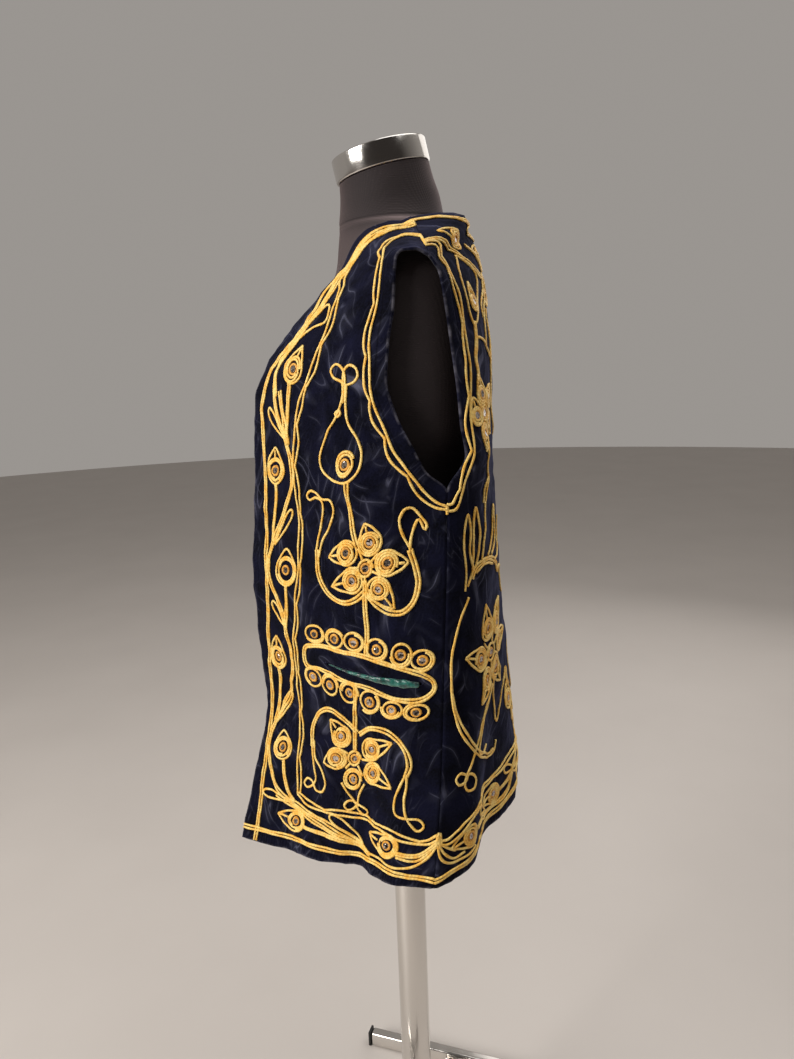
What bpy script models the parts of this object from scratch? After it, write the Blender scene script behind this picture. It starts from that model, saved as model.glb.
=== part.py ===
"""Embroidered velvet vest on a limbless dress form with a chromed stand.

Metres, +Z up. The origin is on the floor under the pole. The vest's front faces -Y and the wearer's
left is +X. Tables and sizes in the tables' own units are millimetres, turned to metres by MM.
"""

from collections import namedtuple
from math import cos, pi, radians, sin

import bpy
import numpy as np
from mathutils import Matrix, Vector
from mathutils.bvhtree import BVHTree

MM = 0.001

# Cloth
CLOTH_WALL = 2.6 * MM
SEAM_GAP = 0.4 * MM
REST_GAP = 0.6 * MM
PANEL_COLUMNS = 15
SEAM_TOP = 370
LEVEL_STEP = 18.0
ROW_LINE_POINTS = 60
WELD_DISTANCE = 0.02 * MM

# The right front's hem corner hangs this much further back, less and less up to this level
RIGHT_HANG_BACK = 14.0
RIGHT_HANG_TOP = 330.0

# Settling the cloth on the form: how often it is pushed out, and where each of its faces is tried
SETTLE_ROUNDS = 8
SETTLE_SHARES = (0.0, 0.25, 0.5, 0.75)
FIND_ROUNDS = 8

# Slit pockets, in the front panel's flat sizes: across from the front edge, up from the hem
POCKET_ACROSS = 155.0
POCKET_UP = 210.0
POCKET_SLOPE = radians(-11.0)
WELT_LENGTH = 146.0
WELT_DEPTH = 24.0
SLIT_LENGTH = 104.0
SLIT_DEPTH = 6.0
SLIT_SHIFT = 9.0
LINING_MARGIN = 0.5
WELT_WALL = 1.4 * MM
LINING_WALL = 0.8 * MM
POCKET_LIFT = 0.35 * MM
WELT_STEPS = 56
ROUND_END_STEPS = 8
LINING_STEPS = 20

# Dress form
FORM_SEGMENTS = 44
FORM_RING_STEP = 18.0
CAP_FOOT = (0.0, -0.5, 1286.8)
CAP_TILT = 12.5
CAP_RADIUS = 49.0
CAP_HEIGHT = 23.0
CAP_BEVEL = 1.5

# Stand
POLE_RADIUS = 18.5
POLE_WALL = 1.5
POLE_SEGMENTS = 32
SOCKET_RADIUS = 45.0
SOCKET_PLATE = 4.0
SLEEVE_RADIUS = 22.0
SLEEVE_HEIGHT = 40.0
BASE_TURN = radians(27.0)
SIDE_BAR_LENGTH = 290.0
SIDE_BAR_OFFSET = 204.0
SIDE_BAR_WIDTH = 16.0
SIDE_BAR_HEIGHT = 24.0
MIDDLE_BAR_WIDTH = 38.0
MIDDLE_BAR_HEIGHT = 17.0
BAR_ROUNDING = 4.0
BAR_ROUNDING_STEPS = 4
END_CAP_LENGTH = 4.0
END_CAP_PROUD = 0.6
TOUCH = 0.3

# One row of a panel, from the front edge or the centre back to the side. "level" is the flat pattern's
# height where the row starts and "across" its distance there from the front edge or centre back, and
# "end_level" is its height where the row ends. A turn is in degrees: at the start from straight
# sideways, at the end from straight forward (front) or straight back (back). A pull is how far the
# row keeps that direction.
Row = namedtuple(
    "Row",
    "level across end_level start_x start_y start_z end_x end_y end_z start_turn start_pull end_turn end_pull",
)

FRONT_ROWS = (
    Row(0, 0, 0, 45, -194, 586, 215, -8, 617, 46, 95, 30, 50),
    Row(85, 0, 85, 42, -172, 668, 203, 3, 700, 42, 90, 20, 60),
    Row(166, 0, 166, 40, -155, 747, 195, 9, 781, 39, 84, 8, 70),
    Row(228, 0, 228, 40, -158, 809, 190, 13, 842, 38, 82, 0, 78),
    Row(300, 0, 300, 40, -160, 881, 188, 17, 914, 37, 82, 0, 82),
    Row(370, 0, 370, 41, -154, 951, 185, 20, 984, 35, 80, 0, 84),
    Row(398, 0, 398, 41, -152, 979, 183, 1, 1004, 34, 74, 6, 74),
    Row(424, 0, 424, 41, -150, 1005, 178, -10, 1027, 33, 68, 12, 66),
    Row(452, 0, 452, 42, -148, 1033, 173, -22, 1053, 32, 64, 18, 60),
    Row(486, 0, 486, 42, -145, 1066, 169, -29, 1084, 30, 60, 24, 54),
    Row(520, 12, 515, 45, -132, 1098, 166, -26, 1114, 27, 54, 30, 48),
    Row(557, 24, 548, 50, -108, 1130, 163, -20, 1146, 23, 48, 38, 42),
    Row(594, 36, 576, 56, -81, 1159, 160, -17.5, 1173, 19, 42, 48, 38),
    Row(630, 48, 600, 61, -55, 1187, 158, -15, 1188, 14, 36, 58, 32),
    Row(660, 58, 612, 66, -31, 1208, 158, -8, 1193.5, 9, 32, 68, 30),
    Row(685, 67, 618, 71, -9, 1224, 159, 2, 1194, 4, 30, 80, 30),
    Row(711, 75, 624, 75, 14, 1233, 160, 14.5, 1188, 0, 30, 90, 30),
)

BACK_ROWS = (
    Row(0, 0, 0, 0, 133, 638, 215, -8, 617, 0, 78, 0, 34),
    Row(85, 0, 85, 0, 124, 718, 203, 3, 700, 0, 78, 0, 40),
    Row(166, 0, 166, 0, 117, 795, 195, 9, 781, 0, 78, 0, 46),
    Row(228, 0, 228, 0, 110, 854, 190, 13, 842, 0, 78, 0, 48),
    Row(300, 0, 300, 0, 103, 923, 188, 17, 914, 0, 78, 0, 50),
    Row(370, 0, 370, 0, 94, 990, 185, 20, 984, 0, 78, 0, 50),
    Row(410, 0, 410, 0, 90, 1029, 176, 40, 1017, 0, 78, 8, 34),
    Row(437, 0, 437, 0, 92, 1056, 172, 37, 1043, 0, 80, 12, 34),
    Row(458, 0, 458, 0, 95, 1077, 170, 36, 1064, 0, 82, 16, 34),
    Row(497, 0, 497, 0, 98, 1116, 168, 32, 1102, 0, 82, 24, 36),
    Row(536, 0, 536, 0, 97, 1155, 165, 28, 1141, 0, 80, 34, 36),
    Row(566, 0, 562, 0, 95, 1184, 162, 25, 1165, 0, 76, 46, 36),
    Row(596, 0, 578, 0, 91, 1213, 161, 22.5, 1176, 0, 68, 62, 36),
    Row(618, 0, 584, 0, 84, 1234, 160.5, 19.5, 1181, 0, 58, 76, 36),
    Row(622, 10, 587, 10, 83, 1236, 160.3, 18.6, 1182.5, 2, 55, 79, 35),
    Row(626, 34, 590, 34, 78, 1238, 160.2, 17.6, 1184, 6, 48, 82, 34),
    Row(631, 58, 593, 56, 62, 1239, 160.1, 16.6, 1185.4, 6, 40, 85, 32),
    Row(636, 71, 595, 69, 40, 1237, 160, 15.6, 1186.8, 3, 34, 88, 31),
    Row(641, 75, 598, 75, 14, 1233, 160, 14.5, 1188, 0, 30, 90, 30),
)

# A soft fold that runs up a panel: where along the row it lies (a share), how wide it is (a share), how
# far it stands out (out is positive), and the levels where it starts and ends.
Fold = namedtuple("Fold", "place spread depth foot head")

FRONT_FOLDS = (
    Fold(0.62, 0.09, -12.0, -150, 170),
    Fold(0.84, 0.08, 7.0, -150, 190),
    Fold(0.26, 0.10, -3.5, -150, 150),
    Fold(0.88, 0.07, -4.0, 250, 400),
    Fold(0.70, 0.09, 4.0, 310, 480),
    Fold(0.30, 0.10, 3.5, 380, 560),
)

BACK_FOLDS = (
    Fold(0.84, 0.08, 6.0, -150, 200),
    Fold(0.64, 0.09, -7.0, -150, 180),
    Fold(0.38, 0.10, 5.0, -150, 170),
    Fold(0.88, 0.06, -3.5, 230, 400),
    Fold(0.45, 0.10, 3.5, 300, 520),
)

# One level of the dress form: half its width, how far it reaches forward and back of the pole's axis,
# how square its plan is (2 is an ellipse), and how far its plane tilts forward, in degrees.
Ring = namedtuple("Ring", "height half_width front back squareness tilt")

FORM_RINGS = (
    Ring(640, 160, 100, 92, 2.30, 0),
    Ring(646, 165, 105, 97, 2.30, 0),
    Ring(690, 169, 110, 100, 2.30, 0),
    Ring(760, 160, 106, 92, 2.30, 0),
    Ring(820, 143, 99, 82, 2.25, 0),
    Ring(870, 136, 95, 76, 2.20, 0),
    Ring(930, 139, 99, 78, 2.20, 0),
    Ring(990, 148, 108, 82, 2.25, 0),
    Ring(1040, 154, 114, 85, 2.25, 0),
    Ring(1080, 155, 109, 87, 2.25, 0),
    Ring(1115, 153, 96, 87, 2.30, 0),
    Ring(1145, 151, 81, 84, 2.35, 0),
    Ring(1168, 149, 67, 79, 2.30, 0),
    Ring(1182, 145, 58, 74, 2.15, 0),
    Ring(1193, 135, 53, 70, 2.00, 0),
    Ring(1204, 118, 51, 68, 1.90, 0),
    Ring(1214, 98, 50, 67, 1.85, 0),
    Ring(1223, 79, 49, 65, 1.85, 0),
    Ring(1232, 65, 48, 63, 1.90, 0),
    Ring(1242, 56, 48, 60, 2.00, 3),
    Ring(1256, 51, 47, 57, 2.00, 7),
    Ring(1272, 49, 46.5, 51, 2.00, 10.5),
    Ring(1286.5, 47.5, 47, 47, 2.00, 12.5),
)

# Each finish: its colour, its roughness and how metallic it is
NAVY_VELVET = ((0.012, 0.014, 0.045), 0.9, 0.0)
TEAL_LINING = ((0.03, 0.20, 0.18), 0.5, 0.0)
BLACK_JERSEY = ((0.025, 0.022, 0.024), 0.85, 0.0)
CHROME_FINISH = ((0.75, 0.73, 0.70), 0.15, 1.0)
BLACK_PLASTIC = ((0.02, 0.02, 0.02), 0.5, 0.0)


def material(name, colour, roughness, metallic):
    """A Principled material with the part's colour."""
    made = bpy.data.materials.new(name)
    made.use_nodes = True
    shader = made.node_tree.nodes["Principled BSDF"]
    shader.inputs["Base Color"].default_value = (*colour, 1.0)
    shader.inputs["Roughness"].default_value = roughness
    shader.inputs["Metallic"].default_value = metallic
    return made


def linked(name, mesh, finish):
    """A new object of this mesh, in the scene and in its own material."""
    thing = bpy.data.objects.new(name, mesh)
    bpy.context.scene.collection.objects.link(thing)
    mesh.materials.append(finish)
    return thing


def smooth_through(at, knots, values):
    """Values at the places asked for, on a smooth curve through the knots that never overshoots them."""
    knots, values = np.asarray(knots, float), np.asarray(values, float)
    step = np.diff(knots)
    slope = np.diff(values) / step
    same = slope[:-1] * slope[1:] > 0
    before, after = np.where(same, slope[:-1], 1.0), np.where(same, slope[1:], 1.0)
    left, right = 2 * step[1:] + step[:-1], step[1:] + 2 * step[:-1]
    tangent = np.zeros(len(knots))
    tangent[1:-1] = np.where(same, (left + right) / (left / before + right / after), 0.0)
    tangent[0], tangent[-1] = slope[0], slope[-1]
    at = np.clip(np.asarray(at, float), knots[0], knots[-1])
    i = np.clip(np.searchsorted(knots, at, "right") - 1, 0, len(step) - 1)
    t = (at - knots[i]) / step[i]
    return (
        values[i] * (1 + 2 * t) * (1 - t) ** 2
        + tangent[i] * step[i] * t * (1 - t) ** 2
        + values[i + 1] * t * t * (3 - 2 * t)
        - tangent[i + 1] * step[i] * t * t * (1 - t)
    )


def row_at(rows, level):
    """The row's values at any level."""
    knots = [row.level for row in rows]
    return Row(*[float(smooth_through(level, knots, column)) for column in zip(*rows)])


def row_line(row, facing):
    """A fine line of points along one row. facing is -1 on the front and +1 on the back."""
    start = np.array([row.start_x, row.start_y, row.start_z])
    end = np.array([row.end_x, row.end_y, row.end_z])
    drop = (end[2] - start[2]) / np.linalg.norm(end[:2] - start[:2])
    leave, arrive = radians(row.start_turn), radians(row.end_turn)
    leaving = np.array([cos(leave), -facing * sin(leave), drop]) * row.start_pull
    arriving = np.array([-sin(arrive), facing * cos(arrive), -drop]) * row.end_pull
    t = np.linspace(0, 1, ROW_LINE_POINTS)[:, None]
    return (
        start * (1 - t) ** 3
        + 3 * (start + leaving) * t * (1 - t) ** 2
        + 3 * (end + arriving) * t * t * (1 - t)
        + end * t**3
    )


def at_shares(line, shares):
    """Points at these shares of a line's length."""
    along = np.concatenate([[0], np.cumsum(np.linalg.norm(np.diff(line, axis=0), axis=1))])
    wanted = np.asarray(shares) * along[-1]
    return np.stack([np.interp(wanted, along, line[:, k]) for k in range(3)], axis=1)


def fold_lift(folds, share, level):
    """How far the folds move a point out of the plain panel."""
    lift = 0.0
    for fold in folds:
        span = np.clip((level - fold.foot) / (fold.head - fold.foot), 0, 1)
        lift += fold.depth * sin(pi * span) * np.exp(-(((share - fold.place) / fold.spread) ** 2))
    return lift


def grid_normals(points):
    """Unit normals of a grid of points. They point out where rows go up and columns go to the
    wearer's left."""
    normals = np.cross(np.gradient(points, axis=1), np.gradient(points, axis=0))
    return normals / np.maximum(np.linalg.norm(normals, axis=2, keepdims=True), 1e-9)


def panel_levels(rows):
    """The table's own levels, with even steps between them."""
    levels = []
    for low, high in zip(rows[:-1], rows[1:]):
        steps = max(1, round((high.level - low.level) / LEVEL_STEP))
        levels += list(np.linspace(low.level, high.level, steps, endpoint=False))
    return levels + [rows[-1].level]


class Panel:
    """A cut piece of cloth: its outer points by level and share, and where they lie on the flat pattern."""

    def __init__(self, rows, folds, facing):
        self.levels = np.array(panel_levels(rows))
        self.shares = np.linspace(0, 1, PANEL_COLUMNS)
        found = [row_at(rows, level) for level in self.levels]
        lines = [row_line(row, facing) for row in found]
        plain = np.array([at_shares(line, self.shares) for line in lines])
        lift = np.array([[fold_lift(folds, share, level) for share in self.shares] for level in self.levels])
        self.points = (plain - facing * grid_normals(plain) * lift[:, :, None]) * MM
        self.facing = facing
        self.across = np.array([row.across for row in found])
        self.lengths = np.array([np.linalg.norm(np.diff(line, axis=0), axis=1).sum() for line in lines])
        self.end_levels = np.array([row.end_level for row in found])

    def at(self, across, up):
        """The point of the cloth, and its normal, at a place on the flat pattern in millimetres."""
        level = up
        for _ in range(FIND_ROUNDS):
            start = np.interp(level, self.levels, self.across)
            share = (across - start) / np.interp(level, self.levels, self.lengths)
            level += up - (level + share * (np.interp(level, self.levels, self.end_levels) - level))
        row = np.interp(level, self.levels, np.arange(len(self.levels)))
        column = np.interp(share, self.shares, np.arange(len(self.shares)))
        i, j = min(int(row), len(self.levels) - 2), min(int(column), len(self.shares) - 2)
        a, b = row - i, column - j
        p = self.points[i : i + 2, j : j + 2]
        point = (p[0, 0] * (1 - b) + p[0, 1] * b) * (1 - a) + (p[1, 0] * (1 - b) + p[1, 1] * b) * a
        along = (p[0, 1] - p[0, 0]) * (1 - a) + (p[1, 1] - p[1, 0]) * a
        upward = (p[1, 0] - p[0, 0]) * (1 - b) + (p[1, 1] - p[0, 1]) * b
        normal = np.cross(along, upward) * -self.facing
        return point, normal / np.linalg.norm(normal)

    def normals(self):
        """Where the wall's thickness points. Along a seam it is square to the seam line and to Y, so that
        the two pieces' edges stay parallel."""
        normals = grid_normals(self.points) * -self.facing
        seam = self.levels <= SEAM_TOP
        for part in (np.s_[seam, -1], np.s_[-1, :]):
            line = self.points[part]
            square = np.cross(np.gradient(line, axis=0), (0.0, 1.0, 0.0))
            square /= np.linalg.norm(square, axis=1, keepdims=True)
            normals[part] = square * np.sign((square * normals[part]).sum(axis=1, keepdims=True))
        normals[-2] += normals[-1]
        normals[seam.sum(), -1] += normals[seam.sum() - 1, -1]
        return normals / np.linalg.norm(normals, axis=2, keepdims=True)

    def settle(self, form):
        """Moves out what would lie inside the form or nearer to it than the cloth rests."""
        for _ in range(SETTLE_ROUNDS):
            normals = self.normals()
            inner = self.points - normals * CLOTH_WALL
            push = np.zeros(self.points.shape[:2])
            for a in SETTLE_SHARES:
                for b in SETTLE_SHARES:
                    low = inner[:-1, :-1] * (1 - b) + inner[:-1, 1:] * b
                    high = inner[1:, :-1] * (1 - b) + inner[1:, 1:] * b
                    middle = low * (1 - a) + high * a
                    self.add_push(push, middle, form, a, b)
            self.add_push(push, inner, form, 0, 0)
            self.points += normals * push[:, :, None]

    def add_push(self, push, samples, form, a, b):
        """Notes how far the corners round each sample have to move for it to clear the form."""
        for i in range(samples.shape[0]):
            for j in range(samples.shape[1]):
                sample = Vector(samples[i, j])
                near, normal, _, _ = form.find_nearest(sample)
                short = REST_GAP - (sample - near).dot(normal)
                if short > 0:
                    last_i = i + (1 if a > 0 else 0)
                    last_j = j + (1 if b > 0 else 0)
                    corner = push[i : last_i + 1, j : last_j + 1]
                    corner[:] = np.maximum(corner, short)


def right_front_rows():
    """The right front's rows. Its hem corner hangs a little further back than the left one's."""
    rows = []
    for row in FRONT_ROWS:
        back = RIGHT_HANG_BACK * max(0.0, 1 - row.level / RIGHT_HANG_TOP)
        rows.append(row._replace(start_y=row.start_y + back))
    return rows


def quads(rows, columns, first=0):
    """Faces of a grid of points, row by row."""
    return [
        (corner, corner + 1, corner + columns + 1, corner + columns)
        for corner in (first + i * columns + j for i in range(rows - 1) for j in range(columns - 1))
    ]


def cloth_wall(name, sheets, finish):
    """A closed wall from sheets, each a grid of outer points and a grid of inner points. Sheets that share
    points are joined there, and every free edge gets a rim."""
    outer, inner, faces, seen = [], [], [], {}
    for out_grid, in_grid in sheets:
        number = []
        for out_point, in_point in zip(out_grid.reshape(-1, 3), in_grid.reshape(-1, 3)):
            key = tuple(np.round(out_point / WELD_DISTANCE).astype(int))
            if key not in seen:
                seen[key] = len(outer)
                outer.append(tuple(out_point))
                inner.append(tuple(in_point))
            number.append(seen[key])
        faces += [tuple(number[corner] for corner in face) for face in quads(*out_grid.shape[:2])]
    edges = {(face[k], face[(k + 1) % 4]) for face in faces for k in range(4)}
    count = len(outer)
    rims = [(b, a, a + count, b + count) for a, b in edges if (b, a) not in edges]
    inside = [tuple(corner + count for corner in reversed(face)) for face in faces]
    mesh = bpy.data.meshes.new(name)
    mesh.from_pydata(outer + inner, [], faces + inside + rims)
    linked(name, mesh, finish)
    mesh.shade_smooth()


def join_seams(front, back):
    """Brings the two pieces to one line along the side seam and the shoulder seam."""
    seam = front.levels <= SEAM_TOP
    side = (front.points[seam, -1] + back.points[: seam.sum(), -1]) / 2
    shoulder = (front.points[-1] + back.points[-1]) / 2
    for panel in (front, back):
        gap = np.array([0.0, panel.facing * SEAM_GAP / 2, 0.0])
        panel.points[: seam.sum(), -1] = side + gap
        panel.points[-1] = shoulder + gap


def wall_sheet(panel):
    """A panel's outer and inner points, as the wearer's left side has them."""
    inner = panel.points - panel.normals() * CLOTH_WALL
    if panel.facing > 0:
        return panel.points[:, ::-1], inner[:, ::-1]
    return panel.points, inner


def mirrored(sheet):
    """The same sheet for the wearer's other side, its faces still pointing out."""
    return tuple(points[:, ::-1] * np.array([-1.0, 1.0, 1.0]) for points in sheet)


def ring_points(ring):
    """One level of the form, its points going round from the wearer's left through the back."""
    points = []
    for k in range(FORM_SEGMENTS):
        turn = 2 * pi * k / FORM_SEGMENTS
        c, s = cos(turn), sin(turn)
        reach = ring.back if s > 0 else ring.front
        x = ring.half_width * np.sign(c) * abs(c) ** (2 / ring.squareness)
        y = reach * np.sign(s) * abs(s) ** (2 / ring.squareness)
        tilt = radians(ring.tilt)
        points.append((x * MM, y * cos(tilt) * MM, (ring.height + y * sin(tilt)) * MM))
    return points


def ring_solid(name, rings, finish):
    """A closed solid through rings of points, each with as many points, from the bottom up."""
    count = len(rings[0])
    points = [point for ring in rings for point in ring]
    faces = [
        (r * count + k, r * count + (k + 1) % count, (r + 1) * count + (k + 1) % count, (r + 1) * count + k)
        for r in range(len(rings) - 1)
        for k in range(count)
    ]
    faces.append(tuple(range(count))[::-1])
    faces.append(tuple((len(rings) - 1) * count + k for k in range(count)))
    mesh = bpy.data.meshes.new(name)
    mesh.from_pydata(points, [], faces)
    return linked(name, mesh, finish)


def form_ring_at(height):
    """The form's ring at any height of its table."""
    knots = [ring.height for ring in FORM_RINGS]
    return Ring(*[float(smooth_through(height, knots, column)) for column in zip(*FORM_RINGS)])


def form_torso(finish):
    """The torso with its neck, smooth and whole."""
    heights = []
    for low, high in zip(FORM_RINGS[:-1], FORM_RINGS[1:]):
        steps = max(1, round((high.height - low.height) / FORM_RING_STEP))
        heights += list(np.linspace(low.height, high.height, steps, endpoint=False))
    heights.append(FORM_RINGS[-1].height)
    torso = ring_solid("form_torso", [ring_points(form_ring_at(height)) for height in heights], finish)
    torso.data.shade_smooth()
    return torso


def form_surface(torso):
    """The torso's surface, to rest the cloth on."""
    return BVHTree.FromPolygons(
        [vertex.co for vertex in torso.data.vertices],
        [tuple(face.vertices) for face in torso.data.polygons],
    )


def turned(name, profile, segments, finish):
    """A closed solid turned round +Z from a closed profile of radius and height, in millimetres."""
    count = len(profile)
    points = [
        (radius * cos(2 * pi * k / segments) * MM, radius * sin(2 * pi * k / segments) * MM, height * MM)
        for k in range(segments)
        for radius, height in profile
    ]
    faces = []
    for k in range(segments):
        here, beside = k * count, (k + 1) % segments * count
        for i in range(count):
            above = (i + 1) % count
            faces.append((here + i, beside + i, beside + above, here + above))
    mesh = bpy.data.meshes.new(name)
    mesh.from_pydata(points, [], faces)
    linked(name, mesh, finish)


def neck_cap(finish):
    """The tilted cap on the neck, a solid disc with eased edges."""
    rings = []
    for inset, up in ((CAP_BEVEL, 0.0), (0.0, CAP_BEVEL), (0.0, CAP_HEIGHT - CAP_BEVEL), (CAP_BEVEL, CAP_HEIGHT)):
        radius = CAP_RADIUS - inset
        turns = [2 * pi * k / FORM_SEGMENTS for k in range(FORM_SEGMENTS)]
        rings.append([Vector((radius * cos(turn), radius * sin(turn), up + TOUCH)) for turn in turns])
    place = Matrix.Translation(Vector(CAP_FOOT)) @ Matrix.Rotation(radians(CAP_TILT), 4, "X")
    ring_solid("form_neck_cap", [[(place @ point) * MM for point in ring] for ring in rings], finish)


def pole_and_socket(chrome):
    """The tube that carries the form, and the flanged socket under the form."""
    foot, head = MIDDLE_BAR_HEIGHT + TOUCH, FORM_RINGS[0].height - TOUCH
    inner = POLE_RADIUS - POLE_WALL
    turned("pole", ((inner, foot), (POLE_RADIUS, foot), (POLE_RADIUS, head), (inner, head)), POLE_SEGMENTS, chrome)
    bore = POLE_RADIUS + TOUCH
    flange = head - SOCKET_PLATE
    socket = (
        (bore, flange - SLEEVE_HEIGHT),
        (SLEEVE_RADIUS, flange - SLEEVE_HEIGHT),
        (SLEEVE_RADIUS, flange),
        (SOCKET_RADIUS, flange),
        (SOCKET_RADIUS, head),
        (bore, head),
    )
    turned("form_socket", socket, POLE_SEGMENTS, chrome)


def stadium(length, depth, steps):
    """Points round a slot with round ends, in millimetres from its middle."""
    half, radius = (length - depth) / 2, depth / 2
    straight = steps // 2 - ROUND_END_STEPS
    points = []
    for side in (1, -1):
        for k in range(straight):
            points.append((side * (half - 2 * half * k / straight), side * radius))
        for k in range(ROUND_END_STEPS):
            turn = side * pi / 2 + pi * k / ROUND_END_STEPS
            points.append((-side * half + radius * cos(turn), radius * sin(turn)))
    return points


def laid_on(panel, places, wall):
    """The outer and inner points of a piece that lies on a panel, from its places round the pocket's
    middle."""
    outer, inner = [], []
    for line in places:
        found = []
        for along, up in line:
            across = POCKET_ACROSS + along * cos(POCKET_SLOPE) - up * sin(POCKET_SLOPE)
            height = POCKET_UP + along * sin(POCKET_SLOPE) + up * cos(POCKET_SLOPE)
            found.append(panel.at(across, height))
        outer.append([point + normal * (POCKET_LIFT + wall) for point, normal in found])
        inner.append([point + normal * POCKET_LIFT for point, normal in found])
    return np.array(outer), np.array(inner)


def pocket_pieces(panel, side, flip, velvet, lining):
    """The welt round the slit, a flat frame on the front, and the strip of lining that shows in it."""
    outer = stadium(WELT_LENGTH, WELT_DEPTH, WELT_STEPS)
    slit = [(SLIT_SHIFT + along, up) for along, up in stadium(SLIT_LENGTH, SLIT_DEPTH, WELT_STEPS)]
    rings = []
    for share in (0.0, 0.5, 1.0):
        ring = []
        for a, b in zip(outer, slit):
            ring.append((a[0] * (1 - share) + b[0] * share, a[1] * (1 - share) + b[1] * share))
        rings.append(ring + ring[:1])
    cloth_wall("pocket_welt_" + side, [flip(laid_on(panel, rings, WELT_WALL))], velvet)
    half, reach = (SLIT_LENGTH - SLIT_DEPTH) / 2, SLIT_DEPTH / 2 - LINING_MARGIN
    steps = range(LINING_STEPS + 1)
    strip = [[(SLIT_SHIFT + half * (2 * k / LINING_STEPS - 1), up) for k in steps] for up in (-reach, reach)]
    cloth_wall("pocket_lining_" + side, [flip(laid_on(panel, strip, LINING_WALL))], lining)


def bar(name, length, width, height, centre, turn, finish, proud=0.0):
    """A straight bar with rounded edges that lies on the floor. Proud makes its section larger all round."""
    rounding = BAR_ROUNDING + proud
    corners = []
    for side, top, start in ((1, 0, -pi / 2), (1, 1, 0.0), (-1, 1, pi / 2), (-1, 0, pi)):
        for step in range(BAR_ROUNDING_STEPS + 1):
            angle = start + pi / 2 * step / BAR_ROUNDING_STEPS
            x = side * (width / 2 - BAR_ROUNDING) + rounding * cos(angle)
            z = (height - BAR_ROUNDING if top else BAR_ROUNDING) + rounding * sin(angle)
            corners.append((x, z))
    rings = [[Vector((x, end * length / 2, z)) for x, z in corners] for end in (1, -1)]
    place = Matrix.Rotation(turn, 4, "Z") @ Matrix.Translation(centre)
    ring_solid(name, [[(place @ point) * MM for point in ring] for ring in rings], finish)


def base(chrome, black):
    """The H of the base: two side bars with black end caps, and the flat bar that joins them."""
    cap_centre = SIDE_BAR_LENGTH / 2 + END_CAP_LENGTH / 2 + TOUCH
    for side, out in (("far", -SIDE_BAR_OFFSET), ("near", SIDE_BAR_OFFSET)):
        bar("base_bar_" + side, SIDE_BAR_LENGTH, SIDE_BAR_WIDTH, SIDE_BAR_HEIGHT, (out, 0, 0), -BASE_TURN, chrome)
        for end, along in (("front", -cap_centre), ("back", cap_centre)):
            name = "base_cap_" + side + "_" + end
            place = (out, along, END_CAP_PROUD)
            height = SIDE_BAR_HEIGHT - END_CAP_PROUD
            bar(name, END_CAP_LENGTH, SIDE_BAR_WIDTH, height, place, -BASE_TURN, black, END_CAP_PROUD)
    length = 2 * SIDE_BAR_OFFSET - SIDE_BAR_WIDTH - 2 * TOUCH
    bar("base_bar_middle", length, MIDDLE_BAR_WIDTH, MIDDLE_BAR_HEIGHT, (0, 0, 0), pi / 2 - BASE_TURN, chrome)


def clear_scene():
    for thing in list(bpy.data.objects):
        bpy.data.objects.remove(thing)


clear_scene()
velvet = material("navy velvet", *NAVY_VELVET)
lining = material("teal lining", *TEAL_LINING)
jersey = material("black jersey", *BLACK_JERSEY)
chrome = material("chromed steel", *CHROME_FINISH)
black = material("black plastic", *BLACK_PLASTIC)

torso = form_torso(jersey)
form = form_surface(torso)
neck_cap(chrome)
pole_and_socket(chrome)
base(chrome, black)

left = Panel(FRONT_ROWS, FRONT_FOLDS, -1)
right = Panel(right_front_rows(), FRONT_FOLDS, -1)
back = Panel(BACK_ROWS, BACK_FOLDS, 1)
for panel in (left, right, back):
    panel.settle(form)
join_seams(left, back)
right.points[right.levels <= SEAM_TOP, -1] = left.points[left.levels <= SEAM_TOP, -1]
right.points[-1] = left.points[-1]
cloth_wall("vest_front_left", [wall_sheet(left)], velvet)
cloth_wall("vest_front_right", [mirrored(wall_sheet(right))], velvet)
cloth_wall("vest_back", [wall_sheet(back), mirrored(wall_sheet(back))], velvet)
pocket_pieces(left, "left", tuple, velvet, lining)
pocket_pieces(right, "right", mirrored, velvet, lining)
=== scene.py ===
"""Embroidered velvet vest on a dress form with a chromed stand, dressed for the photograph's view.

Metres, +Z up. The vest's front faces -Y and the wearer's left is +X. Tables are in millimetres.
"""

from collections import namedtuple
from math import acos, atan, atan2, cos, pi, radians, sin, tau

import bpy
import numpy as np
from mathutils import Matrix, Vector
from mathutils.bvhtree import BVHTree


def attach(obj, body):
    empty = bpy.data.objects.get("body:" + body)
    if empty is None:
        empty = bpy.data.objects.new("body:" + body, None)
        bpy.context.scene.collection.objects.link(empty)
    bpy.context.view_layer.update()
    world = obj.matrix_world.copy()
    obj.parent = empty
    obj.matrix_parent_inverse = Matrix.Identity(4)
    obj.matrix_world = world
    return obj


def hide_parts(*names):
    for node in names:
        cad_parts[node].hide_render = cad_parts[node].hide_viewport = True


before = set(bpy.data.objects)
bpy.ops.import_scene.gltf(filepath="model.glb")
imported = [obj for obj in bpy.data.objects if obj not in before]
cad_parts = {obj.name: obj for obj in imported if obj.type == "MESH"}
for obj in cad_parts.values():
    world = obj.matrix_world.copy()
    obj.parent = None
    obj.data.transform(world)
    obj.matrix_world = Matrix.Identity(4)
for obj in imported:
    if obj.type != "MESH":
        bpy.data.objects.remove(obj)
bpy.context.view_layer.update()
MM = 0.001

# Camera. It stands on the wearer's left at shoulder height, a little in front of the side seam, and
# looks slightly down, as the photograph does.
CAMERA_REACH, CAMERA_HEIGHT = 0.870, 1.100
CAMERA_TURN, CAMERA_DROP, CAMERA_ROLL = radians(82), radians(12), -atan(0.0366)
CAMERA_FOCUS, FILM_HEIGHT = 795 / 1059, 36

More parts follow.
